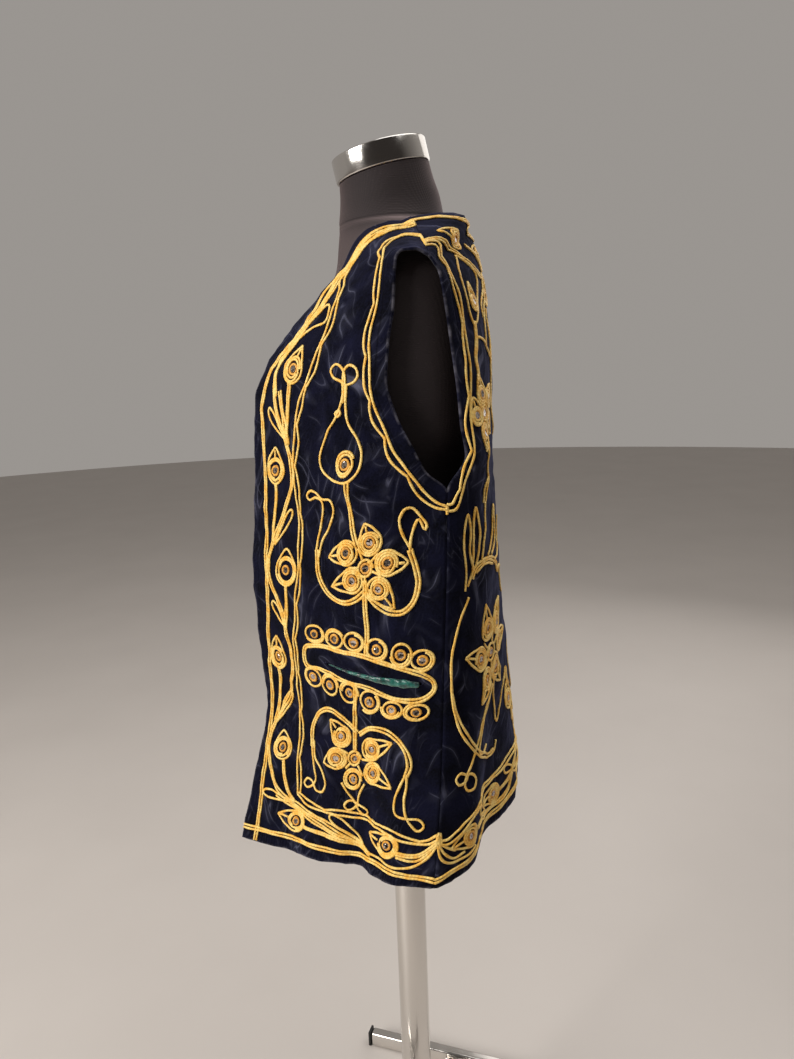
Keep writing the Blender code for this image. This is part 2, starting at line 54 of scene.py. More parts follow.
spot = Vector((sin(CAMERA_TURN) * CAMERA_REACH, -cos(CAMERA_TURN) * CAMERA_REACH, CAMERA_HEIGHT))
gaze = Vector((-sin(CAMERA_TURN) * cos(CAMERA_DROP), cos(CAMERA_TURN) * cos(CAMERA_DROP), -sin(CAMERA_DROP)))
lens = bpy.data.cameras.new("camera")
lens.sensor_fit = "VERTICAL"
lens.sensor_height = FILM_HEIGHT
lens.lens = FILM_HEIGHT * CAMERA_FOCUS
lens.clip_start = 0.02
camera = bpy.data.objects.new("camera", lens)
bpy.context.scene.collection.objects.link(camera)
aim = gaze.to_track_quat("-Z", "Y").to_matrix().to_4x4()
camera.matrix_world = Matrix.Translation(spot) @ aim @ Matrix.Rotation(CAMERA_ROLL, 4, "Z")
bpy.context.scene.camera = camera
bpy.context.scene.view_settings.view_transform = "Standard"

# Floor. A plain pale floor, warm off-white and matt, with the faintest mottling, so that the stand has
# something to stand on and to reflect.
FLOOR_RADIUS, FLOOR_DROP = 9.0, 0.0004


def srgb(code):
    """The linear colour, with full alpha, of an sRGB hex code."""
    parts = [int(code[k : k + 2], 16) / 255 for k in (1, 3, 5)]
    return (*(p / 12.92 if p <= 0.04045 else ((p + 0.055) / 1.055) ** 2.4 for p in parts), 1.0)


def add_node(finish, kind, inputs, **settings):
    """A new node in a material, with its settings, and its inputs set or linked."""
    made = finish.node_tree.nodes.new("ShaderNode" + kind)
    for name, value in settings.items():
        setattr(made, name, value)
    for key, value in inputs.items():
        if isinstance(value, bpy.types.NodeSocket):
            finish.node_tree.links.new(value, made.inputs[key])
        else:
            made.inputs[key].default_value = value
    return made.outputs


def new_finish(name):
    """A new material with an empty node tree."""
    finish = bpy.data.materials.new(name)
    finish.use_nodes = True
    finish.node_tree.nodes.clear()
    return finish


def deselect():
    for thing in list(bpy.context.selected_objects):
        thing.select_set(False)


# Matt off-white floor paint: nearly even, a little rough.
floor_paint = new_finish("matt off-white floor paint")
place = add_node(floor_paint, "TexCoord", {})["Object"]
cloudy = add_node(floor_paint, "TexNoise", {"Vector": place, "Scale": 3.0, "Detail": 4.0})["Fac"]
tone = add_node(
    floor_paint, "Mix", {0: cloudy, 6: srgb("#c9c2bc"), 7: srgb("#d3ccc6")}, data_type="RGBA"
)[2]
paint = add_node(floor_paint, "BsdfPrincipled", {"Base Color": tone, "Roughness": 0.55})[0]
add_node(floor_paint, "OutputMaterial", {"Surface": paint})

deselect()
bpy.ops.mesh.primitive_circle_add(
    vertices=96, radius=FLOOR_RADIUS, fill_type="NGON", location=(0, 0, -FLOOR_DROP)
)
floor = bpy.context.object
floor.name = "floor"
floor.data.materials.append(floor_paint)

# Studio light. A large soft window on the wearer's front left lights the embroidery, a weaker one
# keeps the back from going black, and the room gives the rest.
VEST_MIDDLE = (0, 0, 0.95)


def soft_light(name, place, size, power, tint):
    """A soft square light that faces the vest."""
    light = bpy.data.lights.new(name, "AREA")
    light.size, light.energy, light.color = size, power, tint
    lamp = bpy.data.objects.new(name, light)
    lamp.matrix_world = Matrix.Translation(place) @ (
        (Vector(VEST_MIDDLE) - Vector(place)).to_track_quat("-Z", "Y").to_matrix().to_4x4()
    )
    bpy.context.scene.collection.objects.link(lamp)


soft_light("window light", (1.1, -2.6, 2.0), 1.5, 92, (1.0, 0.97, 0.93))
soft_light("ceiling light", (0.2, 0.7, 3.0), 2.4, 34, (1.0, 0.98, 0.96))
soft_light("fill light", (-1.8, 1.6, 1.7), 2.0, 12, (1.0, 0.97, 0.94))

# The room is pale behind the vest and dimmer on the other side, so that the chrome has something dark
# to reflect.
room = bpy.data.worlds.new("room")
bpy.context.scene.world = room
room.use_nodes = True
toward = add_node(room, "TexCoord", {})["Generated"]
sideways = add_node(room, "SeparateXYZ", {0: toward})[0]
dimmer = add_node(room, "MapRange", {"Value": sideways, "From Min": -0.2, "From Max": 0.75})[0]
walls = add_node(room, "Mix", {0: dimmer, 6: srgb("#d2ccc6"), 7: srgb("#4b4643")}, data_type="RGBA")[2]
background = room.node_tree.nodes["Background"]
room.node_tree.links.new(walls, background.inputs["Color"])
background.inputs["Strength"].default_value = 0.5

# Dress form. A limbless torso with a neck, hard foam inside, and a knitted black jersey cover drawn
# over it, with a seam round the root of the neck; the short seam up its side is not modelled.
FORM_SEGMENTS = 120
FORM_STEP = 5.0
NECK_SEAM = 1238.0
NECK_SEAM_DEPTH, NECK_SEAM_WIDTH = 0.8, 0.9

# One level of the form: half its width, how far it reaches forward and back of the pole's axis, how
# square its plan is (2 is an ellipse), and how far its plane tilts forward, in degrees.
Ring = namedtuple("Ring", "height half_width front back squareness tilt")

FORM_RINGS = (
    Ring(640, 160, 100, 92, 2.30, 0),
    Ring(646, 165, 105, 97, 2.30, 0),
    Ring(690, 169, 110, 100, 2.30, 0),
    Ring(760, 160, 106, 92, 2.30, 0),
    Ring(820, 143, 99, 82, 2.25, 0),
    Ring(870, 136, 95, 76, 2.20, 0),
    Ring(930, 139, 99, 78, 2.20, 0),
    Ring(990, 148, 108, 82, 2.25, 0),
    Ring(1040, 154, 114, 85, 2.25, 0),
    Ring(1080, 155, 109, 87, 2.25, 0),
    Ring(1115, 153, 96, 87, 2.30, 0),
    Ring(1145, 151, 81, 84, 2.35, 0),
    Ring(1168, 149, 67, 79, 2.30, 0),
    Ring(1182, 145, 58, 74, 2.15, 0),
    Ring(1193, 135, 53, 70, 2.00, 0),
    Ring(1204, 118, 51, 68, 1.90, 0),
    Ring(1214, 98, 50, 67, 1.85, 0),
    Ring(1223, 79, 49, 65, 1.85, 0),
    Ring(1232, 65, 48, 63, 1.90, 0),
    Ring(1242, 56, 48, 60, 2.00, 3),
    Ring(1256, 51, 47, 57, 2.00, 7),
    Ring(1272, 49, 46.5, 51, 2.00, 10.5),
    Ring(1286.5, 47.5, 47, 47, 2.00, 12.5),
)


def smooth_through(at, knots, values):
    """Values at the places asked for, on a smooth curve through the knots that never overshoots them."""
    knots, values = np.asarray(knots, float), np.asarray(values, float)
    step = np.diff(knots)
    slope = np.diff(values) / step
    same = slope[:-1] * slope[1:] > 0
    before, after = np.where(same, slope[:-1], 1.0), np.where(same, slope[1:], 1.0)
    left, right = 2 * step[1:] + step[:-1], step[1:] + 2 * step[:-1]
    tangent = np.zeros(len(knots))
    tangent[1:-1] = np.where(same, (left + right) / (left / before + right / after), 0.0)
    tangent[0], tangent[-1] = slope[0], slope[-1]
    at = np.clip(np.asarray(at, float), knots[0], knots[-1])
    i = np.clip(np.searchsorted(knots, at, "right") - 1, 0, len(step) - 1)
    t = (at - knots[i]) / step[i]
    return (
        values[i] * (1 + 2 * t) * (1 - t) ** 2
        + tangent[i] * step[i] * t * (1 - t) ** 2
        + values[i + 1] * t * t * (3 - 2 * t)
        - tangent[i + 1] * step[i] * t * t * (1 - t)
    )


def new_mesh(name, points, faces, finishes, slot, smooth=True):
    """A new piece from points in metres and faces, riding on the root."""
    mesh = bpy.data.meshes.new(name)
    mesh.from_pydata([tuple(point) for point in points], [], [tuple(face) for face in faces])
    for finish in finishes:
        mesh.materials.append(finish)
    if smooth:
        mesh.shade_smooth()
    piece = bpy.data.objects.new(name, mesh)
    bpy.context.scene.collection.objects.link(piece)
    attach(piece, "root")
    return piece


# Knitted black cotton jersey, stretched tight: soft dark grey where the light grazes it, with fine
# ribs of loops 1.2 mm apart, drawn at 1.6 mm so that they show.
JERSEY_RIB = 1.6 * MM
jersey = new_finish("knitted black jersey")
place = add_node(jersey, "TexCoord", {})["Object"]
ribs = add_node(
    jersey, "TexWave", {"Vector": place, "Scale": 0.314 / JERSEY_RIB, "Distortion": 0.6, "Detail": 1.0},
    bands_direction="X",
)["Fac"]
rows = add_node(
    jersey, "TexWave", {"Vector": place, "Scale": 0.314 / JERSEY_RIB, "Distortion": 0.4, "Detail": 1.0},
    bands_direction="Z",
)["Fac"]
knit = add_node(jersey, "Math", {0: ribs, 1: rows}, operation="MULTIPLY")[0]
cloudy = add_node(jersey, "TexNoise", {"Vector": place, "Scale": 26.0, "Detail": 5.0})["Fac"]
lint = add_node(jersey, "TexNoise", {"Vector": place, "Scale": 900.0, "Detail": 2.0})["Fac"]
worn = add_node(jersey, "MapRange", {"Value": lint, "From Min": 0.62, "From Max": 0.8, "To Max": 0.35})[0]
base_tone = add_node(jersey, "Mix", {0: cloudy, 6: srgb("#1c1718"), 7: srgb("#2b2426")}, data_type="RGBA")[2]
tone = add_node(jersey, "Mix", {0: worn, 6: base_tone, 7: srgb("#4a4546")}, data_type="RGBA")[2]
relief = add_node(jersey, "Bump", {"Height": knit, "Strength": 0.35, "Distance": 0.0004})[0]
cloth_shader = add_node(
    jersey,
    "BsdfPrincipled",
    {"Base Color": tone, "Roughness": 0.8, "Normal": relief, "Sheen Weight": 0.6, "Sheen Roughness": 0.45,
     "Sheen Tint": srgb("#cdb6b6"), "Specular IOR Level": 0.3},
)[0]
add_node(jersey, "OutputMaterial", {"Surface": cloth_shader})

heights = np.arange(FORM_RINGS[0].height, FORM_RINGS[-1].height, FORM_STEP)
seam_heights = [NECK_SEAM + off for off in (-3, -1, -0.2, 0.5, 1.5, 4)]
heights = np.sort(np.concatenate([heights, seam_heights, [FORM_RINGS[-1].height]]))
form_points = []
for height in heights:
    knots = [ring.height for ring in FORM_RINGS]
    ring = Ring(*[float(smooth_through(height, knots, column)) for column in zip(*FORM_RINGS)])
    dent = NECK_SEAM_DEPTH * np.exp(-(((height - NECK_SEAM) / NECK_SEAM_WIDTH) ** 2))
    turn = np.linspace(0, tau, FORM_SEGMENTS, endpoint=False)
    c, s = np.cos(turn), np.sin(turn)
    reach = np.where(s > 0, ring.back, ring.front) - dent
    x = (ring.half_width - dent) * np.sign(c) * np.abs(c) ** (2 / ring.squareness)
    y = reach * np.sign(s) * np.abs(s) ** (2 / ring.squareness)
    tilt = radians(ring.tilt)
    form_points.append(np.stack([x, y * cos(tilt), ring.height + y * sin(tilt)], axis=1) * MM)
form_points = np.concatenate(form_points)
around = np.arange(FORM_SEGMENTS)
form_faces = []
for level in range(len(heights) - 1):
    low, high = level * FORM_SEGMENTS, (level + 1) * FORM_SEGMENTS
    beside = (around + 1) % FORM_SEGMENTS
    form_faces += list(zip(low + around, low + beside, high + beside, high + around))
form_faces.append(tuple(around[::-1]))
form_faces.append(tuple((len(heights) - 1) * FORM_SEGMENTS + around))
torso = new_mesh("dress_form", form_points, form_faces, [jersey], "jersey")
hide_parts("form_torso")
form_surface = BVHTree.FromPolygons([Vector(point) for point in form_points], form_faces)

# Neck cap and stand. A turned cap of bright chromed steel closes the neck at a slant. The pole is a
# chromed tube, screwed to a flange under the form, and stands on an H of chromed bars with black
# plastic ends.
CAP_FOOT = (0.0, -0.5, 1286.8)
CAP_TILT = radians(12.5)
CAP_RADIUS, CAP_HEIGHT, CAP_EASE = 49.0, 23.0, 1.5
POLE_RADIUS, POLE_WALL = 18.5, 1.5
SOCKET_RADIUS, SOCKET_PLATE = 45.0, 4.0
SLEEVE_RADIUS, SLEEVE_HEIGHT = 22.0, 40.0
BASE_TURN = radians(27.0)
SIDE_BAR = (16.0, 290.0, 24.0)
SIDE_BAR_OFFSET = 204.0
MIDDLE_BAR_WIDTH, MIDDLE_BAR_HEIGHT = 38.0, 17.0
BAR_ROUNDING = 4.0
END_CAP_LENGTH, END_CAP_PROUD, END_CAP_ROUNDING = 4.0, 0.6, 1.2
TOUCH = 0.3


def chromed_steel(name, grain):
    """Bright nickel-chrome plate on steel. Fine polishing lines, grain apart, and finger marks that
    dull it a little in places."""
    finish = new_finish(name)
    place = add_node(finish, "TexCoord", {})["Object"]
    lines = add_node(finish, "Mapping", {"Vector": place, "Scale": (1, 1, 1 / grain)})[0]
    polish = add_node(finish, "TexNoise", {"Vector": lines, "Scale": 1.0, "Detail": 3.0})["Fac"]
    marks = add_node(finish, "TexNoise", {"Vector": place, "Scale": 38.0, "Detail": 6.0})["Fac"]
    dull = add_node(
        finish, "MapRange",
        {"Value": marks, "From Min": 0.45, "From Max": 0.75, "To Min": 0.13, "To Max": 0.27},
    )[0]
    relief = add_node(finish, "Bump", {"Height": polish, "Strength": 0.12, "Distance": 0.0002})[0]
    plate = add_node(
        finish,
        "BsdfPrincipled",
        {"Base Color": srgb("#d8d4cf"), "Metallic": 1.0, "Roughness": dull, "Normal": relief},
    )[0]
    add_node(finish, "OutputMaterial", {"Surface": plate})
    return finish


def finished(piece, modifier, **settings):
    """Adds a modifier to a piece and applies it."""
    bpy.context.view_layer.objects.active = piece
    made = piece.modifiers.new(modifier.lower(), modifier)
    for name, value in settings.items():
        setattr(made, name, value)
    bpy.ops.object.modifier_apply(modifier=made.name)
    return piece


def eased_cylinder(radius, low, high, ease, vertices):
    """A cylinder between two heights with its end edges eased, in millimetres."""
    deselect()
    bpy.ops.mesh.primitive_cylinder_add(
        vertices=vertices, radius=radius * MM, depth=(high - low) * MM, location=(0, 0, (low + high) / 2 * MM)
    )
    piece = finished(bpy.context.object, "BEVEL", width=ease * MM, segments=4, limit_method="ANGLE")
    bpy.ops.object.shade_smooth_by_angle(angle=radians(40))
    return piece


def settled(piece, name, finish, slot, *nodes):
    """Bakes a piece's place into its mesh, gives it its name, material and body, and hides the CAD nodes it
    replaces.
    """
    deselect()
    piece.select_set(True)
    bpy.context.view_layer.objects.active = piece
    bpy.ops.object.transform_apply(location=True, rotation=True, scale=True)
    piece.name = piece.data.name = name
    piece.data.materials.clear()
    piece.data.materials.append(finish)
    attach(piece, "root")
    if nodes:
        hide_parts(*nodes)
    return piece


cap_chrome = chromed_steel("turned chrome plate", 0.002)
pole_chrome = chromed_steel("drawn chromed tube", 0.02)
bar_chrome = chromed_steel("chromed flat bar", 0.02)

cap = eased_cylinder(CAP_RADIUS, TOUCH, CAP_HEIGHT, CAP_EASE, 128)
cap.matrix_world = (
    Matrix.Translation(Vector(CAP_FOOT) * MM) @ Matrix.Rotation(CAP_TILT, 4, "X") @ cap.matrix_world
)
settled(cap, "neck_cap", cap_chrome, "chrome", "form_neck_cap")

form_foot = FORM_RINGS[0].height - TOUCH


def turned(name, profile, segments, finish, slot, node):
    """A closed ring turned round +Z from a closed profile of radius and height, with eased edges."""
    count = len(profile)
    turn = np.linspace(0, tau, segments, endpoint=False)
    radius, height = np.array(profile, float).T
    across, along = np.outer(np.cos(turn), radius), np.outer(np.sin(turn), radius)
    points = np.stack([across, along, np.tile(height, (segments, 1))], axis=2).reshape(-1, 3)
    faces = []
    for k in range(segments):
        here, beside = k * count, (k + 1) % segments * count
        for i in range(count):
            above = (i + 1) % count
            faces.append((here + i, beside + i, beside + above, here + above))
    piece = new_mesh(name, points * MM, faces, [finish], slot)
    deselect()
    piece.select_set(True)
    finished(piece, "BEVEL", width=0.5 * MM, segments=2, limit_method="ANGLE")
    bpy.ops.object.shade_smooth_by_angle(angle=radians(40))
    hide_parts(node)
    return piece


pole_foot = MIDDLE_BAR_HEIGHT + TOUCH
pole_bore = POLE_RADIUS - POLE_WALL
turned(
    "pole_tube",
    ((pole_bore, pole_foot), (POLE_RADIUS, pole_foot), (POLE_RADIUS, form_foot), (pole_bore, form_foot)),
    96, pole_chrome, "chrome", "pole",
)
socket_bore, flange = POLE_RADIUS + TOUCH, form_foot - SOCKET_PLATE
turned(
    "pole_socket",
    (
        (socket_bore, flange - SLEEVE_HEIGHT),
        (SLEEVE_RADIUS, flange - SLEEVE_HEIGHT),
        (SLEEVE_RADIUS, flange),
        (SOCKET_RADIUS, flange),
        (SOCKET_RADIUS, form_foot),
        (socket_bore, form_foot),
    ),
    96, bar_chrome, "chrome", "form_socket",
)

# Glass-filled black nylon, moulded: even, with a faint grain.
black_nylon = new_finish("moulded black nylon")
place = add_node(black_nylon, "TexCoord", {})["Object"]
grain = add_node(black_nylon, "TexNoise", {"Vector": place, "Scale": 1800.0, "Detail": 2.0})["Fac"]
relief = add_node(black_nylon, "Bump", {"Height": grain, "Strength": 0.3, "Distance": 0.0002})[0]
tone = add_node(black_nylon, "Mix", {0: grain, 6: srgb("#131313"), 7: srgb("#1f1e1e")}, data_type="RGBA")[2]
moulded = add_node(
    black_nylon, "BsdfPrincipled", {"Base Color": tone, "Roughness": 0.45, "Normal": relief}
)[0]
add_node(black_nylon, "OutputMaterial", {"Surface": moulded})


def bar(name, size, centre, turn, ease, finish, slot, node):
    """A bar with rounded long edges that lies on the floor, from a cube with bevelled edges."""
    deselect()
    bpy.ops.mesh.primitive_cube_add(size=1, location=(0, 0, 0))
    piece = bpy.context.object
    piece.scale = [side * MM for side in size]
    bpy.ops.object.transform_apply(location=True, rotation=True, scale=True)
    finished(piece, "BEVEL", width=ease * MM, segments=5, limit_method="ANGLE")
    bpy.ops.object.shade_smooth_by_angle(angle=radians(40))
    piece.matrix_world = Matrix.Rotation(turn, 4, "Z") @ Matrix.Translation(Vector(centre) * MM)
    settled(piece, name, finish, slot, node)


cap_centre = SIDE_BAR[1] / 2 + END_CAP_LENGTH / 2 + TOUCH
for side, out in (("far", -SIDE_BAR_OFFSET), ("near", SIDE_BAR_OFFSET)):
    middle = SIDE_BAR[2] / 2
    bar(
        "side_bar_" + side, SIDE_BAR, (out, 0, middle), -BASE_TURN, BAR_ROUNDING, bar_chrome, "chrome",
        "base_bar_" + side,
    )
    for end, along in (("front", -cap_centre), ("back", cap_centre)):
        size = (SIDE_BAR[0] + 2 * END_CAP_PROUD, END_CAP_LENGTH, SIDE_BAR[2] + END_CAP_PROUD)
        node = "base_cap_" + side + "_" + end
        bar(
            "bar_end_" + side + "_" + end, size, (out, along, size[2] / 2), -BASE_TURN, END_CAP_ROUNDING,
            black_nylon, "black_plastic", node,
        )
middle_length = 2 * SIDE_BAR_OFFSET - SIDE_BAR[0] - 2 * TOUCH
bar(
    "middle_bar", (MIDDLE_BAR_WIDTH, middle_length, MIDDLE_BAR_HEIGHT), (0, 0, MIDDLE_BAR_HEIGHT / 2),
    pi / 2 - BASE_TURN, BAR_ROUNDING, bar_chrome, "chrome", "base_bar_middle",
)

# Vest. Two fronts and a back of navy cotton velvet, backed with black cotton and turned in at every
# free edge, sewn together down the sides and along the shoulders. The embroidery draws the cloth up
# into soft ridges. Each row of a table runs from the front edge or the centre back to the side.
CLOTH_WALL = 2.6
SEAM_GAP = 0.4
REST_GAP = 0.5
SEAM_TOP = 370
WEAVE_STEP = 4.0
RIDGE_PITCH, RIDGE_LIFT = 46, 0.75
DENT_PITCH, DENT_LIFT = 38, 0.9
PUCKER_PITCH, PUCKER_LIFT = 14, 0.35
SEAM_FADE = 22
RIGHT_HANG_BACK, RIGHT_HANG_TOP = 14.0, 330.0

Row = namedtuple(
    "Row",
    "level across end_level start_x start_y start_z end_x end_y end_z "
    "start_turn start_pull end_turn end_pull",
)

FRONT_ROWS = (
    Row(0, 0, 0, 45, -194, 586, 215, -8, 617, 46, 95, 30, 50),
    Row(85, 0, 85, 42, -172, 668, 203, 3, 700, 42, 90, 20, 60),
    Row(166, 0, 166, 40, -155, 747, 195, 9, 781, 39, 84, 8, 70),
    Row(228, 0, 228, 40, -158, 809, 190, 13, 842, 38, 82, 0, 78),
    Row(300, 0, 300, 40, -160, 881, 188, 17, 914, 37, 82, 0, 82),
    Row(370, 0, 370, 41, -154, 951, 185, 20, 984, 35, 80, 0, 84),
    Row(398, 0, 398, 41, -152, 979, 183, 1, 1004, 34, 74, 6, 74),
    Row(424, 0, 424, 41, -150, 1005, 178, -10, 1027, 33, 68, 12, 66),
    Row(452, 0, 452, 42, -148, 1033, 173, -22, 1053, 32, 64, 18, 60),
    Row(486, 0, 486, 42, -145, 1066, 169, -29, 1084, 30, 60, 24, 54),
    Row(520, 12, 515, 45, -132, 1098, 166, -26, 1114, 27, 54, 30, 48),
    Row(557, 24, 548, 50, -108, 1130, 163, -20, 1146, 23, 48, 38, 42),
    Row(594, 36, 576, 56, -81, 1159, 160, -17.5, 1173, 19, 42, 48, 38),
    Row(630, 48, 600, 61, -55, 1187, 158, -15, 1188, 14, 36, 58, 32),
    Row(660, 58, 612, 66, -31, 1208, 158, -8, 1193.5, 9, 32, 68, 30),
    Row(685, 67, 618, 71, -9, 1224, 159, 2, 1194, 4, 30, 80, 30),
    Row(711, 75, 624, 75, 14, 1233, 160, 14.5, 1188, 0, 30, 90, 30),
)

BACK_ROWS = (
    Row(0, 0, 0, 0, 133, 638, 215, -8, 617, 0, 78, 0, 34),
    Row(85, 0, 85, 0, 124, 718, 203, 3, 700, 0, 78, 0, 40),
    Row(166, 0, 166, 0, 117, 795, 195, 9, 781, 0, 78, 0, 46),
    Row(228, 0, 228, 0, 110, 854, 190, 13, 842, 0, 78, 0, 48),
    Row(300, 0, 300, 0, 103, 923, 188, 17, 914, 0, 78, 0, 50),
    Row(370, 0, 370, 0, 94, 990, 185, 20, 984, 0, 78, 0, 50),
    Row(410, 0, 410, 0, 90, 1029, 176, 40, 1017, 0, 78, 8, 34),
    Row(437, 0, 437, 0, 92, 1056, 172, 37, 1043, 0, 80, 12, 34),
    Row(458, 0, 458, 0, 95, 1077, 170, 36, 1064, 0, 82, 16, 34),
    Row(497, 0, 497, 0, 98, 1116, 168, 32, 1102, 0, 82, 24, 36),
    Row(536, 0, 536, 0, 97, 1155, 165, 28, 1141, 0, 80, 34, 36),
    Row(566, 0, 562, 0, 95, 1184, 162, 25, 1165, 0, 76, 46, 36),
    Row(596, 0, 578, 0, 91, 1213, 161, 22.5, 1176, 0, 68, 62, 36),
    Row(618, 0, 584, 0, 84, 1234, 160.5, 19.5, 1181, 0, 58, 76, 36),
    Row(622, 10, 587, 10, 83, 1236, 160.3, 18.6, 1182.5, 2, 55, 79, 35),
    Row(626, 34, 590, 34, 78, 1238, 160.2, 17.6, 1184, 6, 48, 82, 34),
    Row(631, 58, 593, 56, 62, 1239, 160.1, 16.6, 1185.4, 6, 40, 85, 32),
    Row(636, 71, 595, 69, 40, 1237, 160, 15.6, 1186.8, 3, 34, 88, 31),
    Row(641, 75, 598, 75, 14, 1233, 160, 14.5, 1188, 0, 30, 90, 30),
)

# A soft fold that runs up a panel: where along the row it lies (a share), how wide it is (a share), how
# far it stands out (out is positive), and the levels where it starts and ends.
Fold = namedtuple("Fold", "place spread depth foot head")

FRONT_FOLDS = (
    Fold(0.62, 0.09, -12.0, -150, 170),
    Fold(0.84, 0.08, 7.0, -150, 190),
    Fold(0.26, 0.10, -3.5, -150, 150),
    Fold(0.88, 0.07, -4.0, 250, 400),
    Fold(0.70, 0.09, 4.0, 310, 480),
    Fold(0.30, 0.10, 3.5, 380, 560),
)

BACK_FOLDS = (
    Fold(0.84, 0.08, 6.0, -150, 200),
    Fold(0.64, 0.09, -7.0, -150, 180),
    Fold(0.38, 0.10, 5.0, -150, 170),
    Fold(0.88, 0.06, -3.5, 230, 400),
    Fold(0.45, 0.10, 3.5, 300, 520),
)


def row_line(row, facing):
    """A fine line of points along one row. facing is -1 on the front and +1 on the back."""
    start = np.array([row.start_x, row.start_y, row.start_z])
    end = np.array([row.end_x, row.end_y, row.end_z])
    drop = (end[2] - start[2]) / np.linalg.norm(end[:2] - start[:2])
    leave, arrive = radians(row.start_turn), radians(row.end_turn)
    leaving = np.array([cos(leave), -facing * sin(leave), drop]) * row.start_pull
    arriving = np.array([-sin(arrive), facing * cos(arrive), -drop]) * row.end_pull
    t = np.linspace(0, 1, 120)[:, None]
    return (
        start * (1 - t) ** 3
        + 3 * (start + leaving) * t * (1 - t) ** 2
        + 3 * (end + arriving) * t * t * (1 - t)
        + end * t**3
    )


def at_shares(line, shares):
    """Points at these shares of a line's length."""
    along = np.concatenate([[0], np.cumsum(np.linalg.norm(np.diff(line, axis=0), axis=1))])
    wanted = np.asarray(shares) * along[-1]
    return np.stack([np.interp(wanted, along, line[:, k]) for k in range(3)], axis=1)


def soft_noise(across, up, pitch, seed):
    """Smooth noise from -1 to 1 over the flat pattern, its bumps about pitch millimetres apart."""
    made = np.random.default_rng(seed)
    total = np.zeros(np.broadcast(across, up).shape)
    for _ in range(7):
        turn, phase = made.uniform(0, tau), made.uniform(0, tau)
        wave = tau / (pitch * made.uniform(0.7, 1.7))
        total += np.sin(wave * (across * cos(turn) + up * sin(turn)) + phase)
    return total / 4.0


